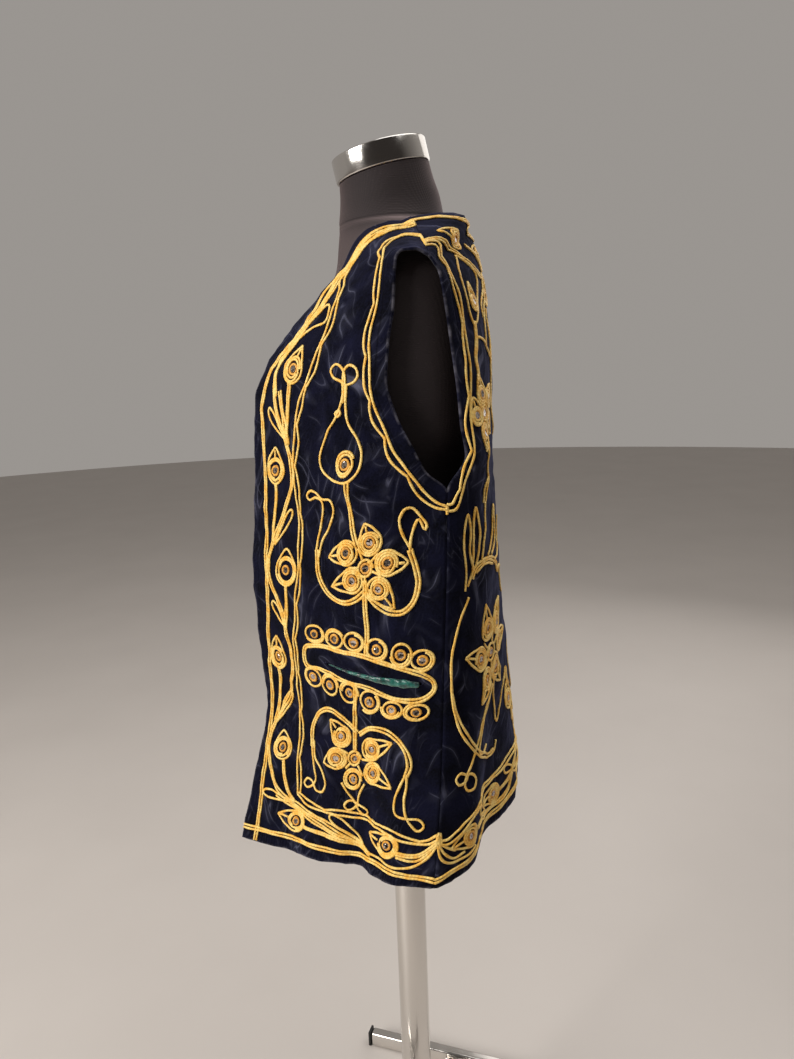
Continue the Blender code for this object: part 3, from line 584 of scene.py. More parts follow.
class Panel:
    """A cut piece of cloth on the form: its outer points and normals in millimetres, row by row, and
    where each lies on the flat pattern. A back panel runs from the wearer's right to the left."""

    def __init__(self, rows, folds, facing, seed, mirror=False):
        self.levels = np.arange(0, rows[-1].level + 1, WEAVE_STEP)
        self.levels = np.unique(np.concatenate([self.levels, [float(SEAM_TOP), rows[-1].level]]))
        knots = [row.level for row in rows]
        columns = [smooth_through(self.levels, knots, column) for column in zip(*rows)]
        found = [Row(*values) for values in zip(*columns)]
        half = np.linspace(0, 1, int(rows[0].end_x / 3.0))
        lines = [row_line(row, facing) for row in found]
        plain = np.array([at_shares(line, half) for line in lines])
        self.across = np.array([row.across for row in found])
        self.end_levels = np.array([row.end_level for row in found])
        self.lengths = np.array([np.linalg.norm(np.diff(line, axis=0), axis=1).sum() for line in lines])
        self.whole, self.out = facing > 0, -facing
        lift = np.zeros(plain.shape[:2])
        for fold in folds:
            span = np.clip((self.levels[:, None] - fold.foot) / (fold.head - fold.foot), 0, 1)
            lift += fold.depth * np.sin(pi * span) * np.exp(-(((half - fold.place) / fold.spread) ** 2))
        self.points = plain
        self.points = plain + self.normals() * lift[:, :, None]
        self.shares = half
        if self.whole:
            turned_over = self.points[:, :0:-1] * np.array([-1.0, 1.0, 1.0])
            self.points = np.concatenate([turned_over, self.points], axis=1)
            self.shares = np.concatenate([-half[:0:-1], half])
        if mirror:
            self.points = self.points * np.array([-1.0, 1.0, 1.0])
            self.out = -self.out
        share = np.abs(self.shares)
        side = np.sign(self.shares + 1e-9)
        self.flat_across = (self.across[:, None] + share * self.lengths[:, None]) * side
        self.flat_up = self.levels[:, None] * (1 - share) + self.end_levels[:, None] * share
        self.wrinkle(seed)

    def normals(self):
        """Unit normals that point away from the wearer."""
        normals = np.cross(np.gradient(self.points, axis=1), np.gradient(self.points, axis=0)) * self.out
        return normals / np.maximum(np.linalg.norm(normals, axis=2, keepdims=True), 1e-9)

    def wrinkle(self, seed):
        """The soft ridges where the embroidery draws the cloth up, fading out towards the seams."""
        across, up = self.flat_across, self.flat_up
        turn = 55 + 30 * soft_noise(across, up, 210, seed)
        along = across * np.cos(np.radians(turn)) + up * np.sin(np.radians(turn))
        wander = 0.5 * soft_noise(across, up, 80, seed + 1)
        ridge = 1 - np.abs(np.sin(pi * (along / RIDGE_PITCH + wander))) * 2
        calm = np.clip(soft_noise(across, up, 120, seed + 2) + 0.35, 0, 1)
        lift = RIDGE_LIFT * ridge * calm
        lift += DENT_LIFT * soft_noise(across, up, DENT_PITCH, seed + 3)
        lift += PUCKER_LIFT * soft_noise(across, up, PUCKER_PITCH, seed + 4)
        from_side = (1 - np.abs(self.shares)) * self.lengths[:, None]
        seam = np.minimum(from_side, (self.levels[-1] - self.levels)[:, None])
        fade = np.clip(seam / SEAM_FADE, 0, 1) ** 0.5
        self.points = self.points + self.normals() * (lift * fade)[:, :, None]

    def seam(self):
        return self.levels <= SEAM_TOP

    def settle(self, form):
        """Moves out what would lie inside the form or nearer to it than the cloth rests."""
        for _ in range(4):
            normals = self.normals()
            inner = (self.points - normals * CLOTH_WALL) * MM
            push = np.zeros(self.points.shape[:2])
            for i, j in np.ndindex(push.shape):
                near, normal, _, gap = form.find_nearest(Vector(inner[i, j]), 0.02)
                if near is not None:
                    push[i, j] = max(0.0, REST_GAP - (Vector(inner[i, j]) - near).dot(normal) / MM)
            self.points = self.points + normals * push[:, :, None]

    def at(self, across, up):
        """Points and normals, in millimetres, at places on the flat pattern."""
        across, up = np.asarray(across, float), np.asarray(up, float)
        side = np.where(across < 0, -1.0, 1.0) if self.whole else 1.0
        level, away = up.copy(), across * side
        for _ in range(14):
            start = np.interp(level, self.levels, self.across)
            share = (away - start) / np.interp(level, self.levels, self.lengths)
            level = level + up - (level + share * (np.interp(level, self.levels, self.end_levels) - level))
        share = np.clip(share, 0, 1) * side
        row = np.interp(level, self.levels, np.arange(len(self.levels)))
        column = np.interp(share, self.shares, np.arange(len(self.shares)))
        i = np.minimum(row.astype(int), len(self.levels) - 2)
        j = np.minimum(column.astype(int), len(self.shares) - 2)
        a, b = (row - i)[..., None], (column - j)[..., None]
        both = []
        for grid in (self.points, self.outward):
            both.append(
                (grid[i, j] * (1 - b) + grid[i, j + 1] * b) * (1 - a)
                + (grid[i + 1, j] * (1 - b) + grid[i + 1, j + 1] * b) * a
            )
        return both[0], both[1] / np.linalg.norm(both[1], axis=-1, keepdims=True)


right_rows = [
    row._replace(start_y=row.start_y + RIGHT_HANG_BACK * max(0.0, 1 - row.level / RIGHT_HANG_TOP))
    for row in FRONT_ROWS
]
left_front = Panel(FRONT_ROWS, FRONT_FOLDS, -1, 11)
right_front = Panel(right_rows, FRONT_FOLDS, -1, 47, mirror=True)
back = Panel(BACK_ROWS, BACK_FOLDS, 1, 83)
for panel in (left_front, right_front, back):
    panel.settle(form_surface)

# The pieces meet along one line at the side and one at the shoulder, a thread's width apart.
for front, edge in ((left_front, -1), (right_front, 0)):
    rows_up = int(front.seam().sum())
    side_line = (front.points[:rows_up, -1] + back.points[:rows_up, edge]) / 2
    count = len(front.shares)
    back_part = back.points[-1, -count:] if edge == -1 else back.points[-1, count - 1 :: -1]
    shoulder_share = np.linspace(0, 1, count)
    back_line = at_shares(back_part, shoulder_share)
    shoulder_line = (front.points[-1] + back_line) / 2
    lean = np.array([0.0, SEAM_GAP / 2, 0.0])
    front.points[:rows_up, -1] = side_line - lean
    back.points[:rows_up, edge] = side_line + lean
    front.points[-1] = shoulder_line - lean
    if edge == -1:
        back.points[-1, -count:] = shoulder_line + lean
    else:
        back.points[-1, count - 1 :: -1] = shoulder_line + lean


def edge_loop(rows, columns):
    """The numbers of a grid's outside points in order round it."""
    grid = np.arange(rows * columns).reshape(rows, columns)
    return np.concatenate([grid[0, :-1], grid[:-1, -1], grid[-1, :0:-1], grid[:0:-1, 0]])


def vest_piece(name, panel, finishes, node):
    """A closed shell of velvet outside and cotton inside, its turned-in edge rounded."""
    rows, columns = panel.points.shape[:2]
    count = rows * columns
    outer, normal = panel.points.reshape(-1, 3), panel.outward.reshape(-1, 3)
    inner = outer - normal * CLOTH_WALL
    loop = edge_loop(rows, columns)
    tangent = np.roll(outer[loop], -1, axis=0) - np.roll(outer[loop], 1, axis=0)
    away = np.cross(tangent, normal[loop]) * panel.out
    away /= np.maximum(np.linalg.norm(away, axis=1, keepdims=True), 1e-9)
    bulge = np.where(np.isin(loop, panel.sewn), 0.0, CLOTH_WALL * 0.42)[:, None]
    rim_high = outer[loop] - normal[loop] * CLOTH_WALL * 0.22 + away * bulge * 0.8
    rim_low = outer[loop] - normal[loop] * CLOTH_WALL * 0.78 + away * bulge * 0.8
    points = np.concatenate([outer, inner, rim_high, rim_low])
    corner = (np.arange(rows - 1)[:, None] * columns + np.arange(columns - 1)).ravel()
    face = np.stack([corner, corner + 1, corner + columns + 1, corner + columns], axis=1)
    if panel.out < 0:
        face = face[:, ::-1]
    n = len(loop)
    beside = (np.arange(n) + 1) % n
    bands = []
    lines = (loop, 2 * count + np.arange(n), 2 * count + n + np.arange(n), loop + count)
    for upper, lower in zip(lines[:-1], lines[1:]):
        band = np.stack([upper, lower, lower[beside], upper[beside]], axis=1)
        bands.append(band if panel.out > 0 else band[:, ::-1])
    faces = np.concatenate([face, face[:, ::-1] + count, *bands])
    piece = new_mesh(name, points * MM, faces.tolist(), finishes, "velvet")
    inside = np.repeat([0, 1, 0, 1], [len(face), len(face), 2 * n, n]).astype(np.int32)
    piece.data.polygons.foreach_set("material_index", inside)
    flat = np.stack([panel.flat_across.ravel(), panel.flat_up.ravel()], axis=1) * MM
    flat = np.concatenate([flat, flat, flat[loop], flat[loop]])
    corners = np.zeros(len(piece.data.loops), np.int32)
    piece.data.loops.foreach_get("vertex_index", corners)
    uv = piece.data.uv_layers.new(name="flat pattern")
    uv.data.foreach_set("uv", flat[corners].astype(np.float32).ravel())
    rim = panel.rim.ravel()
    edge = piece.data.attributes.new("from_edge", "FLOAT", "POINT")
    edge.data.foreach_set("value", np.concatenate([rim, rim, rim[loop], rim[loop]]).astype(np.float32))
    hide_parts(node)
    return piece


for panel in (left_front, right_front, back):
    panel.outward = panel.normals()
    rows, columns = panel.points.shape[:2]
    grid = np.arange(rows * columns).reshape(rows, columns)
    seam = panel.seam()
    sewn = [grid[seam, -1], grid[-1, :]]
    if panel.whole:
        sewn.append(grid[seam, 0])
    panel.sewn = np.concatenate(sewn)
    free = np.setdiff1d(edge_loop(rows, columns), panel.sewn)
    flat = np.stack([panel.flat_across.ravel(), panel.flat_up.ravel()], axis=1)
    panel.rim = np.full(rows * columns, 99.0)
    for start in range(0, rows * columns, 4000):
        block = flat[start : start + 4000]
        away = np.linalg.norm(block[:, None] - flat[free][None], axis=2).min(axis=1)
        panel.rim[start : start + 4000] = away

# Cotton velvet, 2 mm pile, navy, worn: nearly black where you look into the pile, and painted a little
# lighter in patches where it leans away, a painted sheen. It is crushed in long soft lines that flow
# down and across it, 30 to 90 mm long, raised in the bump and painted paler as a painted sheen, and
# rubbed pale in places along its edges.
CREASE_GAP, CREASE_RUN = 22 * MM, 120 * MM
FINE_CREASE_GAP, FINE_CREASE_RUN = 8 * MM, 34 * MM
HEM_RIB_PITCH = 3.8 * MM
velvet = new_finish("navy cotton velvet")
place = add_node(velvet, "UVMap", {}, uv_map="flat pattern")[0]
drift = add_node(velvet, "TexNoise", {"Vector": place, "Scale": 16.0, "Detail": 1.0})["Color"]
bend = add_node(velvet, "VectorMath", {0: drift, 1: (0.05, 0.05, 0.0)}, operation="MULTIPLY")[0]
bent = add_node(velvet, "VectorMath", {0: place, 1: bend}, operation="ADD")[0]


def crease_lines(gap, run, slope, width, seed):
    """Soft ridges that run along a slope: where a stretched noise crosses its middle value, and only
    for part of their length."""
    turned = add_node(velvet, "Mapping", {"Vector": bent, "Rotation": (0, 0, -slope)})[0]
    drawn = add_node(
        velvet, "Mapping", {"Vector": turned, "Location": (seed, seed, 0), "Scale": (1 / run, 1 / gap, 1)}
    )[0]
    field = add_node(velvet, "TexNoise", {"Vector": drawn, "Scale": 1.0, "Detail": 1.0})["Fac"]
    offset = add_node(velvet, "Math", {0: field, 1: 0.5}, operation="SUBTRACT")[0]
    away = add_node(velvet, "Math", {0: offset}, operation="ABSOLUTE")[0]
    core = add_node(velvet, "MapRange", {"Value": away, "From Min": width, "From Max": 0.0})[0]
    wide = add_node(
        velvet, "MapRange", {"Value": away, "From Min": width * 5, "From Max": 0.0, "To Max": 0.35}
    )[0]
    both = add_node(velvet, "Math", {0: core, 1: wide}, operation="ADD")[0]
    moved = add_node(velvet, "VectorMath", {0: place, 1: (seed, seed, 0.0)}, operation="ADD")[0]
    there = add_node(velvet, "TexNoise", {"Vector": moved, "Scale": 24.0, "Detail": 2.0})["Fac"]
    kept = add_node(velvet, "MapRange", {"Value": there, "From Min": 0.5, "From Max": 0.68})[0]
    return add_node(velvet, "Math", {0: both, 1: kept}, operation="MULTIPLY")[0]


steep_lines = crease_lines(CREASE_GAP, CREASE_RUN, radians(68), 0.014, 0.3)
low_lines = crease_lines(CREASE_GAP, CREASE_RUN, radians(-48), 0.012, 1.7)
fine_lines = crease_lines(FINE_CREASE_GAP, FINE_CREASE_RUN, radians(80), 0.012, 2.9)
long_lines = add_node(velvet, "Math", {0: steep_lines, 1: low_lines}, operation="MAXIMUM")[0]
less_fine = add_node(velvet, "Math", {0: fine_lines, 1: 0.35}, operation="MULTIPLY")[0]
wisp = add_node(velvet, "Math", {0: long_lines, 1: less_fine}, operation="MAXIMUM")[0]
pile = add_node(velvet, "TexNoise", {"Vector": place, "Scale": 460.0, "Detail": 3.0})["Fac"]
# Painted sheen: deep is the navy, painted lighter in the patches where the pile leans away.
lean = add_node(velvet, "TexNoise", {"Vector": bent, "Scale": 34.0, "Detail": 5.0, "Roughness": 0.55})["Fac"]
lean_sheen = add_node(velvet, "MapRange", {"Value": lean, "From Min": 0.36, "From Max": 0.72})[0]
deep = add_node(velvet, "Mix", {0: lean_sheen, 6: srgb("#030308"), 7: srgb("#101125")}, data_type="RGBA")[2]
speck = add_node(velvet, "MapRange", {"Value": pile, "From Min": 0.35, "From Max": 0.75, "To Max": 0.25})[0]
flecked = add_node(velvet, "Mix", {0: speck, 6: deep, 7: srgb("#1f2138")}, data_type="RGBA")[2]
# Painted sheen: the crease lines are painted paler, toward #7a7c94, as the crushed pile would shine; their
# bump is real.
faint_crease_sheen = add_node(velvet, "Math", {0: wisp, 1: 0.32}, operation="MULTIPLY")[0]
with_crease_sheen = add_node(velvet, "Mix", {0: faint_crease_sheen, 6: flecked, 7: srgb("#7a7c94")}, data_type="RGBA")[2]
rub = add_node(velvet, "Attribute", {}, attribute_name="from_edge")["Fac"]
near = add_node(velvet, "MapRange", {"Value": rub, "From Min": 1.6, "From Max": 0.0})[0]
fray = add_node(velvet, "TexNoise", {"Vector": place, "Scale": 90.0, "Detail": 6.0})["Fac"]
frayed = add_node(velvet, "MapRange", {"Value": fray, "From Min": 0.42, "From Max": 0.66})[0]
bare = add_node(velvet, "Math", {0: near, 1: frayed}, operation="MULTIPLY")[0]
less_bare = add_node(velvet, "Math", {0: bare, 1: 0.36}, operation="MULTIPLY")[0]
rubbed = add_node(velvet, "Mix", {0: less_bare, 6: with_crease_sheen, 7: srgb("#85828c")}, data_type="RGBA")[2]

# The turned-in edge is sewn down 9.5 mm from the edge, which leaves a groove there, sunk in the bump and
# painted nearly black as a painted shade, and the thread draws the pile into short ribs along the hem and the
# front edge.
GROOVE_AT = 9.5
off_groove = add_node(velvet, "Math", {0: rub, 1: GROOVE_AT}, operation="SUBTRACT")[0]
from_groove = add_node(velvet, "Math", {0: off_groove}, operation="ABSOLUTE")[0]
groove = add_node(velvet, "MapRange", {"Value": from_groove, "From Min": 1.4, "From Max": 0.0})[0]
# Painted shade: the groove is painted nearly black, and worn carries it together with the rubbed edges.
groove_shade = add_node(velvet, "Math", {0: groove, 1: 0.55}, operation="MULTIPLY")[0]
worn = add_node(velvet, "Mix", {0: groove_shade, 6: rubbed, 7: srgb("#030307")}, data_type="RGBA")[2]
parts = add_node(velvet, "SeparateXYZ", {0: place})
hem_ribs = add_node(
    velvet, "TexWave", {"Vector": place, "Scale": 0.314 / HEM_RIB_PITCH, "Distortion": 2.5, "Detail": 1.0},
    bands_direction="X",
)["Fac"]
at_hem = add_node(velvet, "MapRange", {"Value": parts[1], "From Min": 17 * MM, "From Max": 9 * MM})[0]
hem_ribbed = add_node(velvet, "Math", {0: hem_ribs, 1: at_hem}, operation="MULTIPLY")[0]
front_ribs = add_node(
    velvet, "TexWave", {"Vector": place, "Scale": 0.314 / HEM_RIB_PITCH, "Distortion": 2.5, "Detail": 1.0},
    bands_direction="Y",
)["Fac"]
far_in = add_node(velvet, "Math", {0: parts[0]}, operation="ABSOLUTE")[0]
at_front = add_node(velvet, "MapRange", {"Value": far_in, "From Min": 13 * MM, "From Max": 7 * MM})[0]
from_rim = add_node(velvet, "MapRange", {"Value": rub, "From Min": 15.0, "From Max": 12.0})[0]
at_edge = add_node(velvet, "Math", {0: at_front, 1: from_rim}, operation="MULTIPLY")[0]
front_ribbed = add_node(velvet, "Math", {0: front_ribs, 1: at_edge}, operation="MULTIPLY")[0]
ribbed = add_node(velvet, "Math", {0: hem_ribbed, 1: front_ribbed}, operation="MAXIMUM")[0]
soft = add_node(velvet, "Math", {0: wisp, 1: pile}, operation="ADD")[0]
raised = add_node(velvet, "Math", {0: ribbed, 1: soft}, operation="ADD")[0]
height = add_node(velvet, "Math", {0: raised, 1: groove}, operation="SUBTRACT")[0]
relief = add_node(velvet, "Bump", {"Height": height, "Strength": 0.4, "Distance": 0.0010})[0]
napped = add_node(
    velvet,
    "BsdfPrincipled",
    {"Base Color": worn, "Roughness": 0.95, "Normal": relief, "Specular IOR Level": 0.08,
     "Sheen Weight": 0.28, "Sheen Roughness": 0.32, "Sheen Tint": srgb("#7d82b4")},
)[0]
add_node(velvet, "OutputMaterial", {"Surface": napped})

# Plain black cotton backing, washed soft: a flat weave with 0.6 mm threads, drawn at 1.2 mm.
THREAD_GAP = 1.2 * MM
backing = new_finish("plain black cotton")
place = add_node(backing, "UVMap", {}, uv_map="flat pattern")[0]
warp = add_node(
    backing, "TexWave", {"Vector": place, "Scale": 0.314 / THREAD_GAP, "Distortion": 0.5}, bands_direction="X"
)["Fac"]
weft = add_node(
    backing, "TexWave", {"Vector": place, "Scale": 0.314 / THREAD_GAP, "Distortion": 0.5}, bands_direction="Y"
)["Fac"]
weave = add_node(backing, "Math", {0: warp, 1: weft}, operation="ADD")[0]
cloudy = add_node(backing, "TexNoise", {"Vector": place, "Scale": 24.0, "Detail": 5.0})["Fac"]
tone = add_node(backing, "Mix", {0: cloudy, 6: srgb("#141416"), 7: srgb("#26262b")}, data_type="RGBA")[2]
relief = add_node(backing, "Bump", {"Height": weave, "Strength": 0.3, "Distance": 0.0003})[0]
cotton = add_node(backing, "BsdfPrincipled", {"Base Color": tone, "Roughness": 0.85, "Normal": relief})[0]
add_node(backing, "OutputMaterial", {"Surface": cotton})

vest_left = vest_piece("velvet_front_left", left_front, [velvet, backing], "vest_front_left")
vest_right = vest_piece("velvet_front_right", right_front, [velvet, backing], "vest_front_right")
vest_back = vest_piece("velvet_back", back, [velvet, backing], "vest_back")

# Pockets. A slit through each front with its lips faced in the same velvet, and a strip of the teal
# satin pocket bag that puffs out between them.
POCKET_ACROSS, POCKET_UP, POCKET_SLOPE = 155.0, 210.0, radians(-11.0)
WELT_LENGTH, WELT_DEPTH = 146.0, 24.0
SLIT_LENGTH, SLIT_DEPTH, SLIT_SHIFT = 106.0, 4.4, 9.0
WELT_POINTS = 150
SATIN_POINTS = 90

# From the outer edge of the facing to the bottom of the slit: how far in (a share), how high (mm).
WELT_SECTION = ((0.0, -0.3), (0.0, 0.5), (0.1, 0.9), (0.5, 1.0), (0.85, 1.5), (0.97, 1.2), (1.0, -0.3))


def stadium(length, depth, points):
    """Places round a slot with round ends, from its middle, evenly spaced."""
    half, radius = (length - depth) / 2, depth / 2
    turn = np.linspace(0, pi, 24)
    right = np.stack([half + radius * np.sin(turn), radius * np.cos(turn)], axis=1)
    line = np.concatenate([right, -right, right[:1]])
    along = np.concatenate([[0], np.cumsum(np.linalg.norm(np.diff(line, axis=0), axis=1))])
    wanted = np.linspace(0, along[-1], points, endpoint=False)
    return np.stack([np.interp(wanted, along, line[:, 0]), np.interp(wanted, along, line[:, 1])], axis=1)


def on_slope(along, up):
    """Flat pattern places from places along and square to the pocket's slope."""
    return (
        POCKET_ACROSS + along * cos(POCKET_SLOPE) - up * sin(POCKET_SLOPE),
        POCKET_UP + along * sin(POCKET_SLOPE) + up * cos(POCKET_SLOPE),
    )


def flat_marks(piece, flat):
    """Gives a piece of velvet its flat pattern map, and no worn edge."""
    corners = np.zeros(len(piece.data.loops), np.int32)
    piece.data.loops.foreach_get("vertex_index", corners)
    uv = piece.data.uv_layers.new(name="flat pattern")
    uv.data.foreach_set("uv", (flat[corners] * MM).astype(np.float32).ravel())
    edge = piece.data.attributes.new("from_edge", "FLOAT", "POINT")
    edge.data.foreach_set("value", np.full(len(piece.data.vertices), 99.0, np.float32))


def grid_faces(rows, columns, out, round_rows=False, round_columns=False):
    """Faces of a grid of points, row by row; a grid may close on itself either way."""
    i = np.arange(rows if round_rows else rows - 1)[:, None]
    j = np.arange(columns if round_columns else columns - 1)
    low, high = i * columns, (i + 1) % rows * columns
    beside = (j + 1) % columns
    face = np.stack([low + j, low + beside, high + beside, high + j], axis=2).reshape(-1, 4)
    return face if out > 0 else face[:, ::-1]


# Teal polyester satin: long smooth floats that shine along the slit, with small puckers 6 mm apart, painted
# darker in their hollows and lighter on their crests as painted shade and highlight.
satin = new_finish("teal polyester satin")
place = add_node(satin, "UVMap", {}, uv_map="flat pattern")[0]
pucker = add_node(satin, "TexNoise", {"Vector": place, "Scale": 1 / (6 * MM), "Detail": 2.0})["Fac"]
# Painted shade and highlight: the pucker noise that raises the bump also darkens the colour in the hollows.
pucker_shade = add_node(satin, "MapRange", {"Value": pucker, "From Min": 0.35, "From Max": 0.7})[0]
tone = add_node(satin, "Mix", {0: pucker_shade, 6: srgb("#062a28"), 7: srgb("#2c7d70")}, data_type="RGBA")[2]
relief = add_node(satin, "Bump", {"Height": pucker, "Strength": 0.6, "Distance": 0.0012})[0]
shiny = add_node(
    satin, "BsdfPrincipled", {"Base Color": tone, "Roughness": 0.3, "Normal": relief, "Sheen Weight": 0.3}
)[0]
add_node(satin, "OutputMaterial", {"Surface": shiny})

for side, panel in (("left", left_front), ("right", right_front)):
    rim, slit = stadium(WELT_LENGTH, WELT_DEPTH, WELT_POINTS), stadium(SLIT_LENGTH, SLIT_DEPTH, WELT_POINTS)
    slit = slit + np.array([SLIT_SHIFT, 0.0])
    rings, marks = [], []
    for share, height in WELT_SECTION:
        line = rim * (1 - share) + slit * share
        across, up = on_slope(line[:, 0], line[:, 1])
        point, normal = panel.at(across, up)
        rings.append(point + normal * height)
        marks.append(np.stack([across, up], axis=1))
    points = np.concatenate(rings)
    faces = grid_faces(len(rings), WELT_POINTS, panel.out, round_rows=True, round_columns=True)
    welt = new_mesh("pocket_facing_" + side, points * MM, faces.tolist(), [velvet], "velvet")
    flat_marks(welt, np.concatenate(marks))
    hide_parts("pocket_welt_" + side)

    share = np.linspace(0, 1, SATIN_POINTS)
    along = SLIT_SHIFT + (SLIT_LENGTH - 5) * (share - 0.5)
    swell = np.interp(share, [0, 0.12, 0.3, 0.5, 0.7, 0.88, 1], [0.3, 0.6, 1.4, 2.6, 4.2, 4.6, 2.4])
    swell = swell + 0.3 * np.sin(share * 53) * share
    turn = np.linspace(0, tau, 12, endpoint=False)
    ripple = 0.35 * np.sin(share[:, None] * 71 + np.cos(turn) * 2.0)
    across, up = on_slope(along[:, None] + 0 * turn, swell[:, None] * np.cos(turn) - 0.4)
    point, normal = panel.at(across, up)
    height = 0.4 + (1.0 + 0.42 * swell[:, None] + ripple * (0.4 + 0.3 * swell[:, None])) * np.sin(turn)
    points = (point + normal * height[:, :, None]).reshape(-1, 3)
    faces = grid_faces(SATIN_POINTS, 12, panel.out, round_columns=True).tolist()
    ends = [tuple(range(12)), tuple(range((SATIN_POINTS - 1) * 12, SATIN_POINTS * 12))]
    faces += [ends[0][:: -panel.out], ends[1][:: panel.out]]
    bag = new_mesh("pocket_satin_" + side, points * MM, faces, [satin], "lining")
    flat_marks(bag, np.stack([across.ravel(), up.ravel()], axis=1))
    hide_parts("pocket_lining_" + side)

# Embroidery. Gold rayon cord, softly twisted and 2.6 mm across, is laid on the velvet and sewn down
# (couched) with thread of its colour, mostly two cords side by side. Rings are coiled from it round a
# smaller coil of amber cord, which holds a small mirror. Places and sizes are in the millimetres of
# each panel's flat pattern.
CORD_WIDTH, CORD_HEIGHT = 2.6, 1.8
CORD_STEP = 2.0
CORD_SIDES = 6
TWIST_PITCH = 3.6
COIL_PITCH = 2.1
AMBER_AT = 4.4
GLASS_RADIUS, GLASS_DEPTH, GLASS_EASE = 3.4, 0.9, 0.25
GLASS_UP, GLASS_TILT = 0.75, 0.16
SWAY, SWAY_PITCHES = 0.35, (6, 11)
LOOSE_LIFT = 0.45
DRIFT, DRIFT_PITCH = 1.4, 70
TURN_CLOSES_AT, COIL_POINTS, AMBER_TURNS = 0.72, 30, 1.08
EYE_UNDER, EYE_CORNER, EYE_BULGE, EYE_FILL_FROM = 0.5, 0.92, 0.10, 7
UNEVEN, UNEVEN_PITCH, CORD_SUNK = 0.08, 2.9, 0.3
LEAF_BULGE = ((0.4, 0.62), (0.78, 1.0), (0.97, 0.5))


def curve(points, closed=False):
    """A smooth flat line through these places, its points evenly spaced."""
    line = np.asarray(points, float)
    if closed:
        line = np.concatenate([line[-1:], line, line[:2]])
    else:
        line = np.concatenate([2 * line[:1] - line[1:2], line, 2 * line[-1:] - line[-2:-1]])
    knot = np.concatenate([[0], np.cumsum(np.sqrt(np.linalg.norm(np.diff(line, axis=0), axis=1)) + 1e-6)])
    gap = np.diff(knot)[:, None]
    slope = np.diff(line, axis=0) / gap
    tangent = (slope[1:] * gap[:-1] + slope[:-1] * gap[1:]) / (gap[1:] + gap[:-1])
    fine = []
    for k in range(1, len(line) - 2):
        t = np.linspace(0, 1, 24, endpoint=False)[:, None]
        span = gap[k]
        fine.append(
            line[k] * (1 + 2 * t) * (1 - t) ** 2
            + tangent[k - 1] * span * t * (1 - t) ** 2
            + line[k + 1] * t * t * (3 - 2 * t)
            - tangent[k] * span * t * t * (1 - t)
        )
    fine.append(line[-2:-1])
    return evenly(np.concatenate(fine))


def evenly(line):
    """The same line with its points a cord's step apart."""
    along = np.concatenate([[0], np.cumsum(np.linalg.norm(np.diff(line, axis=0), axis=1))])
    wanted = np.linspace(0, along[-1], max(3, round(along[-1] / CORD_STEP) + 1))
    return np.stack([np.interp(wanted, along, line[:, 0]), np.interp(wanted, along, line[:, 1])], axis=1)


def beside(line, gap):
    """A line moved sideways, to its left where gap is positive."""
    along = np.gradient(line, axis=0)
    along /= np.maximum(np.linalg.norm(along, axis=1, keepdims=True), 1e-9)
    return line + np.stack([-along[:, 1], along[:, 0]], axis=1) * np.reshape(gap, (-1, 1))


